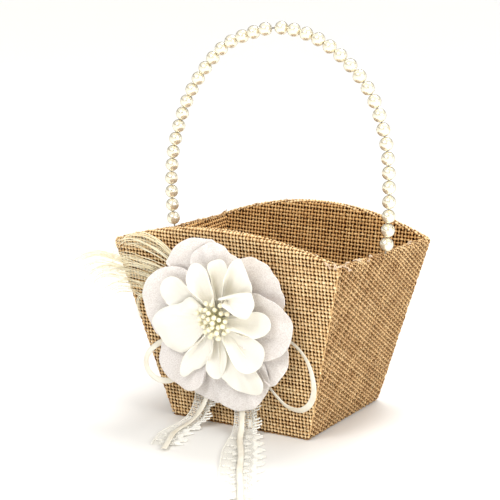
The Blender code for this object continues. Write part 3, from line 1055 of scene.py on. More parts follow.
@dataclass(frozen=True)
class Petal:
    """One petal, in millimetres from the flower's heart, in the plane of the front cloth.

    The outline runs from one side of the root, round the tip, to the other side.
    """

    cloth: Cloth
    root: float  # height of the root over the front cloth
    height: float  # height of the outline over the front cloth
    outline: tuple[tuple[float, float], ...]
    heart: tuple[float, float] = (0.0, 0.0)
    belly: float = 0.0  # how far the middle of its length swells
    cup: float = 0.0  # how far its sides lift
    lip: float = 0.0  # how far its last edge turns up, or back if under 0
    ruffle: float = 0.6


OUTER_PETALS = (
    Petal(Cloth.ORGANZA, 4.6, 8.5, ((-18, 27), (-29.5, 28), (-27, 34), (-22, 40), (-15, 44.5), (-8.5, 46.5),
        (-2, 46.5), (4, 45), (3.5, 31.5)), belly=-0.6, lip=0.4),
    Petal(Cloth.ORGANZA, 4.8, 8.5, ((13, 27), (17.5, 36), (21, 38), (25.5, 39), (30, 38), (35, 35.5),
        (39, 32), (43, 28), (44, 22.5), (44.5, 17), (43.5, 12), (36.5, 6.5)), belly=-0.8, lip=0.3,
        ruffle=0.8),
    Petal(Cloth.ORGANZA, 4.4, 8.0, ((31.5, -6.5), (40.5, -7.5), (43.5, -11), (43.5, -17), (41.5, -24.5),
        (37.5, -30.5), (33.5, -35), (28.5, -35.5), (23, -26)), belly=-0.8, lip=0.3),
    Petal(Cloth.ORGANZA, 4.4, 7.5, ((-18, -34.5), (-21.5, -42.5), (-20.5, -48), (-17, -50), (-10.5, -52),
        (-4.5, -52.5), (1.5, -42.5)), ruffle=0.3),
    Petal(Cloth.ORGANZA, 5.6, 9.8, ((-12.5, 24), (-12.5, 33), (-11, 37), (-7, 40.5), (-1.5, 44), (3, 45.5),
        (9, 43), (13.5, 40), (18.5, 37.5), (20, 29.5)), belly=0.4, lip=-0.5, ruffle=0.8),
    Petal(Cloth.ORGANZA, 5.2, 9.0, ((-8, -31), (-8.5, -42.5), (-6, -49), (-1.5, -52.5), (4.5, -54.5),
        (11.5, -54), (20, -50.5), (25, -44.5), (29, -37.5), (30, -31), (27.5, -23.5)), belly=0.5, lip=-0.6,
        ruffle=0.7),
    Petal(Cloth.ORGANZA, 6.8, 11.0, ((-13, 21.5), (-15.5, 27), (-21.5, 28), (-28.5, 27.5), (-35.5, 24.5),
        (-42, 18.5), (-46.5, 10), (-47.5, 4.5), (-46.5, -1), (-45, -6.5), (-42.5, -12.5), (-39, -16),
        (-27.5, -17.5)), belly=0.8, lip=-0.6, ruffle=1.0),
    Petal(Cloth.ORGANZA, 6.4, 11.0, ((-27, -14.5), (-35.5, -17.5), (-39.5, -23), (-42, -30), (-40.5, -36),
        (-35, -41), (-28, -45.5), (-20, -46), (-14, -42.5), (-11, -37), (-13, -32), (-13, -21.5)),
        belly=0.8, lip=-0.8, ruffle=0.9),
    Petal(Cloth.ORGANZA, 7.0, 11.0, ((14.5, 10), (21.5, 17), (26.5, 19.5), (32, 20), (38.5, 18), (44, 14.5),
        (47.5, 9.5), (49, 3), (48.5, -3), (46, -9), (41, -15), (34, -18.5), (28.5, -19), (16.5, -12.5)),
        belly=-0.8, lip=0.6, ruffle=1.0),
    Petal(Cloth.SATIN, 8.4, 13.0, ((2, -18), (2, -32), (4, -35), (9, -39), (15.5, -41), (23.5, -41),
        (27.5, -38), (28.5, -33), (26, -28), (20.5, -18.5)), belly=0.6, lip=-0.7, ruffle=0.5),
)
INNER_PETALS = (
    Petal(Cloth.SATIN, 9.6, 13.5, ((3.5, 16), (2.5, 25.5), (1, 33.5), (5.5, 36.5), (10, 37), (13, 34),
        (12, 28), (10, 17)), belly=-2.2, cup=1.6, ruffle=0.5),
    Petal(Cloth.SATIN, 9.4, 15.0, ((-7.5, 12), (-11.5, 14), (-15, 18.5), (-17, 22.5), (-21.5, 24),
        (-27, 22.5), (-31, 18), (-32, 13.5), (-31.5, 9), (-28.5, 5.5), (-20.5, 5.5), (-11, 7)), belly=-1.8,
        cup=1.0, lip=-1.2, ruffle=0.8),
    Petal(Cloth.SATIN, 10.4, 17.0, ((-3.5, 13), (-8.5, 17), (-12, 21), (-12, 27), (-9, 32.5), (-5, 34.5),
        (-0.5, 32.5), (2.5, 28), (4, 23), (5, 18), (3, 14)), belly=-1.2, cup=1.8, lip=-1.0, ruffle=0.6),
    Petal(Cloth.SATIN, 10.0, 17.0, ((10.5, 15.5), (11.5, 23), (13.5, 30), (17, 37), (21, 40), (24, 40.5),
        (26.5, 36), (28.5, 30.5), (29.5, 24.5), (27.5, 18), (19.5, 12)), belly=-2.4, cup=1.4, lip=-0.8,
        ruffle=0.7),
    Petal(Cloth.SATIN, 10.0, 15.0, ((13, 4), (21.5, 6), (26.5, 9.5), (31, 10.5), (35.5, 9.5), (38, 6.5),
        (37.5, 2), (34, -2.5), (29.5, -5), (26, -6), (20, -5.5), (12, -2)), belly=-2.0, cup=1.8, lip=-0.8,
        ruffle=0.4),
    Petal(Cloth.SATIN, 9.6, 15.0, ((1.5, -7.5), (-1.5, -16), (-6, -25), (-7.5, -30), (-5, -34), (-1, -35),
        (2.5, -32.5), (6, -26), (7.5, -19.5), (6.5, -12.5), (5.5, -7)), belly=-1.6, cup=2.4, lip=-1.4,
        ruffle=0.3),
    Petal(Cloth.SATIN, 10.0, 15.0, ((-5.5, -9.5), (-10.5, -14), (-15.5, -19), (-20.5, -23), (-23.5, -29),
        (-25, -35.5), (-21.5, -36.5), (-16, -32), (-11.5, -30), (-5, -24), (-1, -17), (-0.5, -9.5)),
        belly=-1.0, cup=1.2, lip=-1.6, ruffle=0.9),
    Petal(Cloth.SATIN, 10.6, 16.0, ((8.5, -2), (15, -2.5), (21.5, -3.5), (27, -6), (31, -8.5), (33, -13),
        (31.5, -18.5), (28.5, -23), (23, -26.5), (17.5, -26.5), (12.5, -22.5), (9.5, -17), (7, -10)),
        belly=-1.3, cup=1.0, lip=-0.6, ruffle=0.4),
    Petal(Cloth.SATIN, 10.8, 15.0, ((-5.5, 7.5), (-13, 12.5), (-20, 8), (-30, 4.5), (-36, 0.5), (-39, -5),
        (-38, -11), (-35, -17.5), (-30, -21), (-23, -22), (-16.5, -19), (-12, -13.5), (-8, -7.5)),
        belly=1.4, cup=-0.4, lip=-1.6, ruffle=1.0),
    Petal(Cloth.SATIN, 14.5, 19.5, ((9.5, 17.5), (16, 19.5), (23, 21.5), (29, 22.5), (30.5, 19.5), (31, 16),
        (28.5, 11), (25, 6.8), (21, 7), (17, 9), (11.5, 13)), heart=(10.5, 14.6), belly=1.4, cup=0.8,
        lip=-2.0, ruffle=0.9),
)


@dataclass
class ClothFlower:
    """The flower on the front: layered petals round a bunch of stamens."""

    face: WallFace
    rows: int = 28
    columns: int = 45
    stamen_count: int = 31
    hidden_stalks: int = 26
    bunch_centre: tuple[float, float] = (2.2, 1.6)  # of the stamens, in millimetres from the heart
    bunch_reach: tuple[float, float] = (10.4, 11.4)
    foot_height: float = 9.8
    stalk_radius: float = 0.26 * MM
    cloth_thickness: float = 0.24 * MM
    folds: tuple[tuple[float, float], ...] = ((1.0, 1.5), (0.6, 3.2), (0.3, 6.5))  # size, waves round the lip
    ray_count: int = 9  # pressed veins from root to lip
    ray_depth: float = 0.22
    wobble_rate: float = 0.09  # of the cloth's uneven swells, per millimetre
    wobble_height: float = 0.9
    dome_height: float = 17.6  # of the bunch's middle bead tips
    tip_half_length: float = 1.65
    tip_radius: float = 1.36

    def stamen_heads(self) -> list[tuple[float, float]]:
        """Spreads the bead tips evenly over the bunch, each a golden angle round from the last."""
        heads = []
        for k in range(self.stamen_count):
            turn = k * math.pi * (3 - math.sqrt(5))
            reach = math.sqrt((k + 0.35) / self.stamen_count) * (1 + 0.05 * math.sin(5.3 * k))
            x = self.bunch_centre[0] + self.bunch_reach[0] * reach * math.cos(turn)
            y = self.bunch_centre[1] + self.bunch_reach[1] * reach * math.sin(turn)
            heads.append((x, y))
        return heads

    def measure(self) -> None:
        """Finds the flower's heart in the front cloth's plane from the frame's stamens."""
        low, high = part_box("stamens")
        middle = np.array([*((low + high) / 2), 1.0])
        self.heart = (np.linalg.inv(self.face.frame) @ middle)[:2]

    def to_world(self, local: Array) -> Array:
        """Turns flower coordinates (metres from the heart, height out of the cloth) into world points."""
        moved = local + np.array([*self.heart, 0])
        return laid(self.face.frame, *np.moveaxis(moved, -1, 0))

    def heights(self, cut: Petal, flat: Array, t: Array, w: Array, seed: int) -> Array:
        """How high the petal stands over the front cloth.

        Args:
            cut: The petal.
            flat: Its grid of points, flat.
            t: Each row's share of the way out.
            w: Each column's share of the way round.
            seed: Of its own folds.

        Returns:
            Heights in millimetres.
        """
        reach = np.linalg.norm(flat[-1] - np.array(cut.heart), axis=1)
        phase = np.random.default_rng(seed).uniform(0, 2 * np.pi, 4)
        folds = 0.0
        for (size, count), start in zip(self.folds, phase):
            folds = folds + size * np.sin(2 * np.pi * count * w + start)
        side = 2 * w - 1
        height = cut.root + (cut.height - cut.root) * t**1.1
        height = height + cut.belly * np.sin(np.pi * t)
        height = height + cut.cup * (side**2 - 0.35) * np.sin(np.pi * t * 0.8)
        height = height + cut.lip * rise(t, 0.72, 0.28) + cut.ruffle * reach.max() / 40 * t**2.5 * folds
        rays = np.abs(np.sin(np.pi * self.ray_count * w + phase[3])) ** 6
        height = height - self.ray_depth * rays * np.sin(np.pi * t)
        rough = self.wobble_rate
        wobble = [[noise.noise(Vector((x * rough, y * rough, seed * 1.7))) for x, y in row] for row in flat]
        return height + self.wobble_height * np.array(wobble) * t

    def petal(self, name: str, cut: Petal, seed: int, finish: Material) -> Object:
        """Builds one petal as a thin closed cloth.

        Args:
            name: The piece's name.
            cut: Its outline and set.
            seed: Of its own folds.
            finish: Its cloth.

        Returns:
            The petal.
        """
        outline = flat_route(cut.outline, 0.5)
        w = np.linspace(0, 1, self.columns)
        spaced = np.linspace(0, 1, len(outline))
        outline = np.stack([np.interp(w, spaced, outline[:, k]) for k in range(2)], axis=1)
        t = (1 - (1 - np.linspace(0, 1, self.rows)) ** 1.5)[:, None]
        root = np.array(cut.heart)
        flat = root + (outline - root)[None] * (0.10 + 0.90 * t[:, :, None])
        height = self.heights(cut, flat, t, w[None, :], seed)
        points = self.to_world(np.concatenate([flat, height[:, :, None]], axis=2).reshape(-1, 3) * MM)
        obj = mesh_object(name, points, grid_quads(self.rows, self.columns)[:, ::-1], finish)
        cloth = np.concatenate([flat, np.full((self.rows, self.columns, 1), seed)], axis=2)
        mark_points(obj, "cloth", "FLOAT_VECTOR", cloth * MM)
        thick = obj.modifiers.new("cloth", "SOLIDIFY")
        thick.thickness = self.cloth_thickness
        thick.offset = 0
        return obj

    def stamens(self, finish: Material, stalk: Material) -> None:
        """Builds the bunch: bead tips over a dome, each on its own bent filament."""
        rng = np.random.default_rng(44)
        beads, stalks = ThreadMesh(), ThreadMesh()
        across = self.face.frame[:3, 0]
        cx, cy = self.bunch_centre

        def add_stalk(foot: Array, head: Array, end: Array, knee: float) -> None:
            """Bends one filament from its foot to its end, its middle raised by knee."""
            middle = (foot + head) / 2 + np.array([0, 0, knee])
            route = self.to_world(smooth_route([foot, middle, end], 1.2) * MM)
            stalks.add(route, across, self.stalk_radius, self.stalk_radius, 6, float(rng.uniform(0, 1)))

        for x, y in self.stamen_heads():
            away = math.hypot(x - cx, y - cy)
            head = np.array([x, y, self.dome_height - 2.4 * (away / 9.5) ** 2 + rng.normal(0, 0.4)])
            foot = np.array([cx + rng.normal(0, 1.2), cy + rng.normal(0, 1.2), self.foot_height])
            way = unit(head - foot + np.array([0, 0, 3.0]))
            size = rng.uniform(0.94, 1.08)
            t = np.linspace(-1, 1, 11)
            pod = np.sqrt(np.clip(1 - t**2, 0.010, 1)) * self.tip_radius * size * (1 + 0.10 * t) * MM
            path = self.to_world((head + np.outer(t * self.tip_half_length * size, way)) * MM)
            beads.add(path, across, pod, pod, 12, float(rng.uniform(0, 1)))
            add_stalk(foot, head, head - way * 1.2, 1.2)
        foot = np.array([cx, cy, self.foot_height])
        for _ in range(self.hidden_stalks):
            angle, reach = rng.uniform(0, 2 * np.pi), rng.uniform(3, 9)
            x, y = cx + reach * math.cos(angle), cy + reach * math.sin(angle)
            head = np.array([x, y, rng.uniform(12.5, 14.5)])
            add_stalk(foot, head, head, 1.0)
        report(beads.piece("stamen_beads", finish), "basket", "stamen", "stamens")
        report(stalks.piece("stamen_stalks", stalk), "basket", "stamen", "stamens")

    def build(self) -> None:
        """Builds the petals and the stamens and dresses the backing."""
        self.measure()
        cloths = {
            Cloth.ORGANZA: PetalCloth("organza", "FBF7F3", "CDC2BA", 0.8, 0.25, 0.6, 0.35, 1.0).build(),
            Cloth.SATIN: PetalCloth("petal satin", "FAF6EA", "EFE8D6", 0.40, 0.30, 0.45, 0.15, 0.6).build(),
        }
        felt = PetalCloth("pressed felt", "EDE8DC", "D8D1C0", 0.9, 0.0, 0.95, 0.3, 0.8)
        dress("flower_backing", felt.build())
        for layer, cuts, first_seed in (("outer", OUTER_PETALS, 1), ("inner", INNER_PETALS, 51)):
            for number, cut in enumerate(cuts):
                name = f"{layer}_petal_{number + 1}"
                petal = self.petal(name, cut, first_seed + number, cloths[cut.cloth])
                report(petal, "basket", cut.cloth.value, f"{layer}_petals")
        bead = Lacquer("stamen lacquer", "FAF5DE", "F0E7C2", 0.28).build()
        stalk = Lacquer("waxed thread", "E4DFB8", "C9C392", 0.5).build()
        self.stamens(bead, stalk)


# --------------------------------------------------------------------------------------------- the feather


@dataclass(frozen=True)
class BarbBundle:
    """Barbs that cling together: where they run on the front cloth, in millimetres, and how they part."""

    count: int
    run: tuple[tuple[float, float], ...]
    spread: tuple[float, float]  # at the root and at the tip
    radius: float = 0.20
    height: float = 2.6


BARB_BUNDLES = (
    BarbBundle(6, ((-22, 90), (-33, 103), (-41, 109), (-50, 111.5), (-60, 110), (-68, 105)), (0.9, 2.6),
        0.42),
    BarbBundle(4, ((-22, 88), (-35, 99.5), (-47, 105.5), (-57, 107.5), (-66, 105), (-71, 98)), (0.7, 2.2),
        0.40),
    BarbBundle(3, ((-22, 87), (-37, 97), (-50, 102), (-59, 104), (-68, 101.5), (-72, 95)), (0.5, 1.5),
        0.36),
    BarbBundle(5, ((-24, 86), (-41, 94), (-54, 97), (-63, 98), (-71, 95), (-74, 88)), (0.8, 1.9), 0.36),
    BarbBundle(22, ((-22, 90), (-34, 101), (-45, 106), (-56, 108), (-66, 105), (-71, 99)), (3.0, 6.0), 0.13,
        2.0),
    BarbBundle(11, ((-28, 85), (-44, 91), (-56, 93.5), (-66, 92.5), (-76, 88), (-82, 82)), (2.0, 3.0),
        0.20),
    BarbBundle(9, ((-30, 80), (-48, 86), (-58, 88.5), (-67, 87), (-75, 82)), (2.0, 2.6), 0.19),
    BarbBundle(10, ((-34, 75), (-50, 79), (-58, 82), (-66, 82.5), (-73, 78)), (1.2, 1.6), 0.20),
    BarbBundle(9, ((-36, 70), (-50, 72), (-57, 75), (-64, 77), (-70, 74)), (1.0, 1.6), 0.20),
    BarbBundle(8, ((-46, 76), (-56, 74), (-59, 68), (-58, 62), (-55, 56)), (1.0, 1.2), 0.18),
    BarbBundle(8, ((-40, 88), (-60, 92), (-78, 93), (-92, 90), (-103, 84)), (3.0, 4.6), 0.16, 3.4),
    BarbBundle(8, ((-40, 84), (-60, 87), (-76, 86), (-88, 82), (-97, 76)), (3.2, 5.0), 0.16, 3.4),
    BarbBundle(8, ((-42, 79), (-60, 81), (-72, 78), (-81, 72), (-87, 66)), (3.2, 4.8), 0.16, 3.4),
    BarbBundle(8, ((-44, 92), (-60, 96.5), (-76, 98), (-88, 96), (-96, 91)), (1.8, 3.8), 0.13, 3.4),
    BarbBundle(38, ((-62, 91), (-75, 94), (-85, 94), (-94, 90), (-102, 84)), (4.0, 5.6), 0.11, 3.4),
    BarbBundle(34, ((-62, 85), (-74, 86), (-82, 84), (-89, 79), (-95, 72)), (4.4, 6.0), 0.11, 3.4),
    BarbBundle(14, ((-61, 78), (-70, 78), (-76, 75), (-82, 70), (-86, 64)), (3.0, 4.6), 0.11, 3.4),
)


@dataclass
class FeatherSpray:
    """Loose feather barbs from behind the flower, sweeping left past the tub and drooping at their tips."""

    face: WallFace
    lowest: float = 0.9  # of a barb over the front cloth, in millimetres
    highest: float = 6.0

    def build(self) -> None:
        """Builds every barb as a hair-thin tapering thread."""
        down = FineThread("feather barbs", "FFFAE2", "EFDFB4", 0.6, 9.0, 0.3).build()
        rng = np.random.default_rng(77)
        threads = ThreadMesh()
        normal = self.face.outward
        for bundle in BARB_BUNDLES:
            middle = flat_route(bundle.run, 1.5)
            t = np.linspace(0, 1, len(middle))
            along = unit(np.gradient(middle, axis=0))
            sideways = np.stack([-along[:, 1], along[:, 0]], axis=1)
            spread = bundle.spread[0] + (bundle.spread[1] - bundle.spread[0]) * t**1.5
            for _ in range(bundle.count):
                kept = max(6, int(len(middle) * rng.uniform(0.78, 1.0)))
                lane = rng.uniform(-1, 1)
                stray = rng.normal(0, 0.35) * t**2 * np.sin(t * rng.uniform(3, 9) + rng.uniform(0, 6))
                path = middle + sideways * (lane * spread + stray)[:, None]
                height = bundle.height + 0.8 * rng.normal() * (0.3 + t)
                height = height + 1.6 * (1 - ease(t * 3)) * rng.uniform(-1, 0)
                height = np.clip(height + 0.5 * np.sin(t * 7 + rng.uniform(0, 6)), self.lowest, self.highest)
                world = laid(self.face.frame, path[:, 0] * MM, path[:, 1] * MM, height * MM)[:kept]
                share = t[:kept] / t[kept - 1]
                radius = bundle.radius * (1 - 0.70 * share**1.5) * MM * rng.uniform(0.85, 1.2)
                threads.add(world, normal, radius, radius * 0.6, 4, float(rng.uniform(0, 1)))
        report(threads.piece("feather_barbs", down), "basket", "feather", "feather")


# -------------------------------------------------------------------------------------- ribbons and lace


@dataclass
class SatinRibbon:
    """A narrow satin ribbon on the frame's route: a loop beside the flower, then a tail on the floor."""

    name: str
    node: str
    route: tuple[Point, ...]
    length: float
    front: Array
    width: float = 3.4 * MM
    thickness: float = 0.25 * MM
    drop: float = 1.05 * MM  # from the route to the ribbon where it lies on the floor
    twist: float = 28.0  # how far the loop's band turns each way, in degrees
    twists: float = 1.6  # how often over its length

    def build(self, finish: Material) -> Object:
        """Args:
            finish: The satin.

        Returns:
            The ribbon.
        """
        path = smooth_route(self.route, 1.0 * MM)
        flat = ease((12 * MM - path[:, 2]) / (9 * MM))[:, None]
        facing = unit(self.front * (1 - flat) + np.array([0.0, 0.0, 1.0]) * flat)
        along = unit(np.gradient(path, axis=0))
        run = np.linspace(0, 1, len(path))
        turns = np.sin(run * 2 * np.pi * self.twists + 0.6)
        twist = (np.radians(self.twist) * turns * (1 - flat[:, 0]))[:, None]
        across = unit(np.cross(along, facing))
        facing = unit(np.cos(twist) * facing + np.sin(twist) * across)
        middle = path - flat * np.array([0, 0, self.drop])
        threads = ThreadMesh()
        threads.add(middle, facing, self.width / 2 / math.cos(math.pi / 8), self.thickness / 2, 8, 0.4)
        ribbon = threads.piece(self.name, finish)
        report(ribbon, "basket", "ribbon", self.node)
        return ribbon


RIBBON_RIGHT: tuple[Point, ...] = (
    (0.0138, -0.0537, 0.0602), (0.0240, -0.0541, 0.0630), (0.0355, -0.0543, 0.0615),
    (0.0445, -0.0541, 0.0570), (0.0510, -0.0541, 0.0500), (0.0540, -0.0535, 0.0410),
    (0.0540, -0.0521, 0.0320), (0.0500, -0.0498, 0.0240), (0.0430, -0.0480, 0.0192),
    (0.0345, -0.0478, 0.0202), (0.0275, -0.0487, 0.0262), (0.0210, -0.0503, 0.0335),
    (0.0130, -0.0511, 0.0365), (0.0075, -0.0508, 0.0315), (0.0066, -0.0505, 0.0225),
    (0.0078, -0.0512, 0.0140), (0.0090, -0.0537, 0.0070), (0.0112, -0.0588, 0.0034),
    (0.0160, -0.0670, 0.0029), (0.0225, -0.0765, 0.0029), (0.0290, -0.0870, 0.0029),
    (0.0355, -0.0985, 0.0029), (0.0425, -0.1100, 0.0029), (0.0500, -0.1215, 0.0029),
    (0.0570, -0.1330, 0.0029), (0.0645, -0.1450, 0.0029),
)
RIBBON_LEFT: tuple[Point, ...] = (
    (-0.0225, -0.0525, 0.0556), (-0.0310, -0.0522, 0.0525), (-0.0400, -0.0526, 0.0488),
    (-0.0475, -0.0542, 0.0445), (-0.0525, -0.0558, 0.0380), (-0.0530, -0.0550, 0.0305),
    (-0.0485, -0.0532, 0.0248), (-0.0410, -0.0512, 0.0238), (-0.0340, -0.0502, 0.0280),
    (-0.0280, -0.0503, 0.0335), (-0.0215, -0.0508, 0.0355), (-0.0170, -0.0506, 0.0310),
    (-0.0158, -0.0502, 0.0230), (-0.0172, -0.0507, 0.0150), (-0.0205, -0.0527, 0.0085),
    (-0.0240, -0.0572, 0.0042), (-0.0255, -0.0640, 0.0029), (-0.0242, -0.0720, 0.0029),
    (-0.0212, -0.0800, 0.0029), (-0.0178, -0.0880, 0.0029), (-0.0145, -0.0960, 0.0029),
)


@dataclass
class LaceTail:
    """A lace band that hangs from under the flower and lies on the floor, fringed on one scalloped edge."""

    name: str
    node: str
    route: tuple[tuple[float, float, float, float], ...]
    width: float
    length: float
    gather: float  # its width at the top as a share of the whole, where it is bunched under the flower
    scallop: float = 10.5 * MM
    lash: float = 5.6 * MM
    lashes: int = 6  # in each scallop
    ripple: float = 0.35 * MM

    def lay(self) -> None:
        """Smooths the band's middle line and its turn, and measures it."""
        rows = np.array(self.route)
        rows[:, 3] = np.radians(rows[:, 3])
        self.line = smooth_route(rows, 1.0 * MM)
        self.run = distances(self.line[:, :3])
        self.total = self.run[-1]
        self.half = self.width / 2

    def along(self, y: Array) -> Array:
        """The middle line's place and turn at y, one row each."""
        return np.stack([np.interp(y, self.run, self.line[:, k]) for k in range(4)], axis=-1)

    def place(self, x: Array, y: Array, lift: Array | float) -> Array:
        """Places band coordinates: x across from its middle, y down its length, lift off its face."""
        centre, turn = self.along(y)[..., :3], self.along(y)[..., 3]
        across = np.stack([np.cos(turn), np.sin(turn), np.zeros_like(turn)], axis=-1)
        ahead = (self.along(y + 0.5 * MM) - self.along(y - 0.5 * MM))[..., :3]
        facing = unit(np.cross(ahead, across))
        ripple = np.abs(self.ripple * np.sin(y / (9 * MM)) * np.sin(x / (5 * MM) + 1.0))
        gathered = x * (self.gather + (1 - self.gather) * ease((y - 28 * MM) / (34 * MM)))
        return centre + across * gathered[..., None] + facing * (lift + ripple)[..., None]

    def build(self, net: Material, cotton: Material) -> None:
        self.lay()
        columns, rows = 15, int(self.total / (1.5 * MM)) + 1
        across = np.linspace(-self.half, self.half - self.lash * 0.75, columns)
        x, y = np.meshgrid(across, np.linspace(0, self.total, rows))
        points = self.place(x, y, 0.0).reshape(-1, 3)
        ground = mesh_object(f"{self.name}_net", points, grid_quads(rows, columns), net)
        mark_points(ground, "cloth", "FLOAT_VECTOR", np.stack([x, y, np.zeros_like(x)], axis=-1))
        report(ground, "basket", "lace", self.node)
        stitches = self.stitching(cotton)
        report(stitches, "basket", "lace", self.node)

    def edge(self, y: Array | float) -> Array:
        """The scalloped edge's distance from the band's middle at y."""
        return self.half - self.lash - 1.7 * MM * (1 - np.abs(np.sin(np.pi * y / self.scallop)))

    def stitching(self, cotton: Material) -> Object:
        """Builds the heavier threads: edge cords, a flower in every scallop, and the fringe."""
        threads = ThreadMesh()
        rng = np.random.default_rng(len(self.name))
        half, scallop = self.half, self.scallop

        def stitch(x: Array, y: Array, radius: float, lift: float = 0.15, flat: float = 1.0) -> None:
            """Adds one thread through band coordinates, its thickness a share of its width."""
            kept = (y >= 0) & (y <= self.total)
            if kept.sum() < 3:
                return
            x, y = x[kept], y[kept]
            path = self.place(x, y, lift * MM)
            above = self.place(x, y, (lift + 1) * MM)
            threads.add(path, above - path, radius * MM, radius * flat * MM, 4, float(rng.uniform(0, 1)))

        def rosette(x0: float, y0: float, radius: float, petals: int) -> None:
            """Stitches a little flower: a ring of loops round a middle."""
            turn = np.linspace(0, 2 * np.pi, petals * 7 + 1)
            reach = radius * (0.55 + 0.45 * np.cos(petals * turn))
            stitch(x0 + reach * np.cos(turn), y0 + reach * np.sin(turn), 0.24)
            stitch(x0 + 0.3 * radius * np.cos(turn), y0 + 0.3 * radius * np.sin(turn), 0.2, 0.3)

        down = np.arange(0, self.total, 0.6 * MM)
        stitch(np.full_like(down, -half + 0.3 * MM), down, 0.22)
        stitch(self.edge(down), down, 0.28)
        stitch(self.edge(down) - 1.3 * MM, down, 0.18)
        t = np.linspace(0, 1, 16)
        for k in range(-1, int(self.total / scallop) + 2):
            middle = (k + 0.5) * scallop
            rosette(half - self.lash - 4.6 * MM, middle, 2.5 * MM, 6)
            rosette(-half * 0.35, middle + scallop * 0.5, 2.0 * MM, 5)
            stitch(half * (0.45 - 0.95 * t), middle + scallop * (0.1 + 0.45 * np.sin(t * np.pi)), 0.16)
            stitch(half * (0.45 - 1.1 * t), middle - scallop * 0.2 * np.sin(t * np.pi * 1.5), 0.16)
            for x0 in (-0.82, -0.6):
                rosette(half * x0, middle + scallop * 0.2, 0.9 * MM, 4)
        lash_pitch = scallop / self.lashes
        t = np.linspace(0, 1, 6)
        for i in range(int(self.total / lash_pitch)):
            y0 = (i + 0.5) * lash_pitch
            bulge = abs(math.sin(math.pi * y0 / scallop))
            reach = self.lash * (0.45 + 0.75 * bulge) * rng.uniform(0.9, 1.08)
            x = self.edge(y0) - 0.8 * MM + reach * t
            stitch(x, y0 - reach * 0.30 * t + 0.3 * MM * np.sin(t * np.pi), 0.60, 0.2, 0.5)
        return threads.piece(f"{self.name}_stitching", cotton)


LACE_RIGHT = (
    (0.0080, -0.0483, 0.0320, 0), (0.0085, -0.0475, 0.0250, 0), (0.0090, -0.0471, 0.0170, 2),
    (0.0098, -0.0478, 0.0095, 6), (0.0108, -0.0502, 0.0042, 12), (0.0130, -0.0550, 0.0014, 20),
    (0.0165, -0.0625, 0.0008, 28), (0.0225, -0.0735, 0.0007, 30), (0.0290, -0.0850, 0.0007, 30),
    (0.0360, -0.0975, 0.0007, 31), (0.0435, -0.1105, 0.0007, 32), (0.0515, -0.1235, 0.0007, 32),
    (0.0590, -0.1355, 0.0007, 32),
)
LACE_LEFT = (
    (-0.0165, -0.0480, 0.0300, 0), (-0.0170, -0.0473, 0.0235, 0), (-0.0180, -0.0472, 0.0160, -4),
    (-0.0200, -0.0486, 0.0085, -8), (-0.0222, -0.0520, 0.0036, -8), (-0.0240, -0.0570, 0.0012, 0),
    (-0.0248, -0.0640, 0.0007, 8), (-0.0235, -0.0720, 0.0007, 14), (-0.0205, -0.0800, 0.0007, 18),
    (-0.0170, -0.0880, 0.0007, 20),
)


# ---------------------------------------------------------------------------------------------- the studio


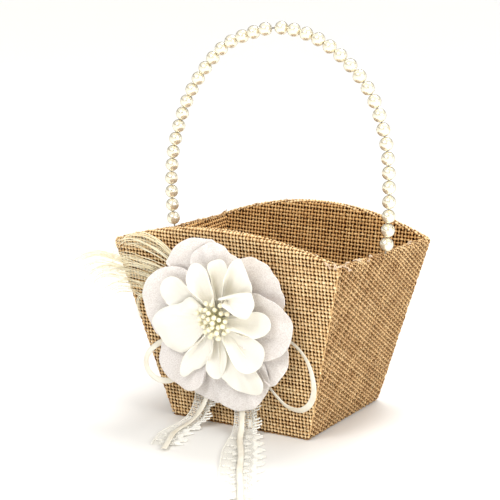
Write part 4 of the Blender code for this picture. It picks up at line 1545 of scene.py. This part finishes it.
@dataclass
class Studio:
    """A white table in a soft-lit studio, and the camera."""

    azimuth: float = 31.5
    elevation: float = 13.3
    distance: float = 0.99345
    lens: float = 123.9
    target: Point = (-0.01757, 0.0, 0.09228)
    roll: float = -0.42
    basket_middle: Point = (0.0, 0.0, 0.08)
    overhead_power: float = 2.35
    overhead_spread: float = 28.0
    table_radius: float = 20.0
    smudge_mm: float = 1000 / 6

    def camera(self) -> None:
        """Sets up the camera on its stand."""
        az, el = math.radians(self.azimuth), math.radians(self.elevation)
        back = Vector((math.sin(az) * math.cos(el), -math.cos(az) * math.cos(el), math.sin(el)))
        lens = bpy.data.cameras.new("camera")
        lens.lens = self.lens
        lens.sensor_width = 36
        lens.clip_start, lens.clip_end = 0.05, 60
        camera = linked("camera", lens)
        camera.rotation_mode = "QUATERNION"
        camera.location = Vector(self.target) + back * self.distance
        level = (-back).to_track_quat("-Z", "Y")
        camera.rotation_quaternion = level @ Quaternion((0, 0, 1), math.radians(self.roll))
        bpy.context.scene.camera = camera

    def softbox(self, name: str, place: Point, size: float, power: float) -> None:
        """Hangs one square softbox that looks at the basket."""
        light = bpy.data.lights.new(name, "AREA")
        light.size = size
        light.energy = power
        lamp = linked(name, light)
        lamp.location = place
        lamp.rotation_mode = "QUATERNION"
        lamp.rotation_quaternion = (Vector(self.basket_middle) - Vector(place)).to_track_quat("-Z", "Y")

    def overhead(self) -> None:
        """Hangs the broad overhead light that whitens the whole table evenly."""
        light = bpy.data.lights.new("overhead", "SUN")
        light.energy = self.overhead_power
        light.angle = math.radians(self.overhead_spread)
        linked("overhead", light).rotation_euler = (math.radians(-24), math.radians(3), 0)

    def table(self) -> None:
        """Lays the white table, faintly glossy with soft smudges."""
        made = Surface("white acrylic table")
        smudge = made.noise(made.place(), self.smudge_mm, 2.0)
        made.feed("Roughness", made.spread(smudge, 0.0, 1.0, 0.50, 0.62))
        white = made.finished(Base_Color=linear("EAE8E4"), Specular_IOR_Level=0.25)
        bpy.ops.mesh.primitive_circle_add(vertices=64, radius=self.table_radius, fill_type="NGON")
        floor = bpy.context.object
        floor.name = "table"
        floor.data.materials.append(white)

    def sky(self) -> None:
        """Surrounds the table with a white cove and a white ceiling, and the dark room between them."""
        world = bpy.data.worlds.new("studio")
        world.use_nodes = True
        bpy.context.scene.world = world
        tree = world.node_tree
        around = add_node(tree, "TexCoord")
        parts = add_node(tree, "SeparateXYZ", {0: around.outputs["Generated"]})
        levels = ((0.19, 1.0), (0.25, 0.16), (0.46, 0.16), (0.53, 0.68))
        stops = ((at, (level, level, level, 1)) for at, level in levels)
        colour = add_ramp(tree, parts.outputs["Z"], *stops)
        tree.links.new(colour, tree.nodes["Background"].inputs["Color"])
        tree.nodes["Background"].inputs["Strength"].default_value = 1.0
        bpy.context.scene.view_settings.view_transform = "Standard"

    def build(self) -> None:
        """Lights the set."""
        self.table()
        self.sky()
        self.softbox("key", (-0.10, -1.05, 1.1), 0.5, 9.0)
        self.softbox("fill", (1.35, -0.45, 0.7), 0.6, 14)
        self.overhead()


def main() -> None:
    """Builds the basket's pieces round the frame, in order."""
    logging.basicConfig(level=logging.INFO, format="%(message)s")
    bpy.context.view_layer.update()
    studio = Studio()
    studio.camera()
    tub = BurlapTub()
    tub.measure()
    front = tub.faces[Side.FRONT]
    satin = FineThread("ribbon satin", "F4F0E2", "DAD0BA", 0.32, 14.0, 0.2).build()
    SatinRibbon("satin_ribbon_right", "ribbon_right", RIBBON_RIGHT, 0.257, front.outward).build(satin)
    SatinRibbon("satin_ribbon_left", "ribbon_left", RIBBON_LEFT, 0.162, front.outward).build(satin)
    net = CottonNet().build()
    cotton = FineThread("lace cotton", "FAF8F1", "ECE8DC", 0.8, 2.0).build()
    LaceTail("lace_tail_right", "lace_right", LACE_RIGHT, 0.024, 0.1275, 0.70).build(net, cotton)
    LaceTail("lace_tail_left", "lace_left", LACE_LEFT, 0.020, 0.0668, 0.82).build(net, cotton)
    tub.build()
    PearlHandle().build()
    ClothFlower(front).build()
    FeatherSpray(front).build()
    studio.build()


if __name__ == "__main__":
    main()
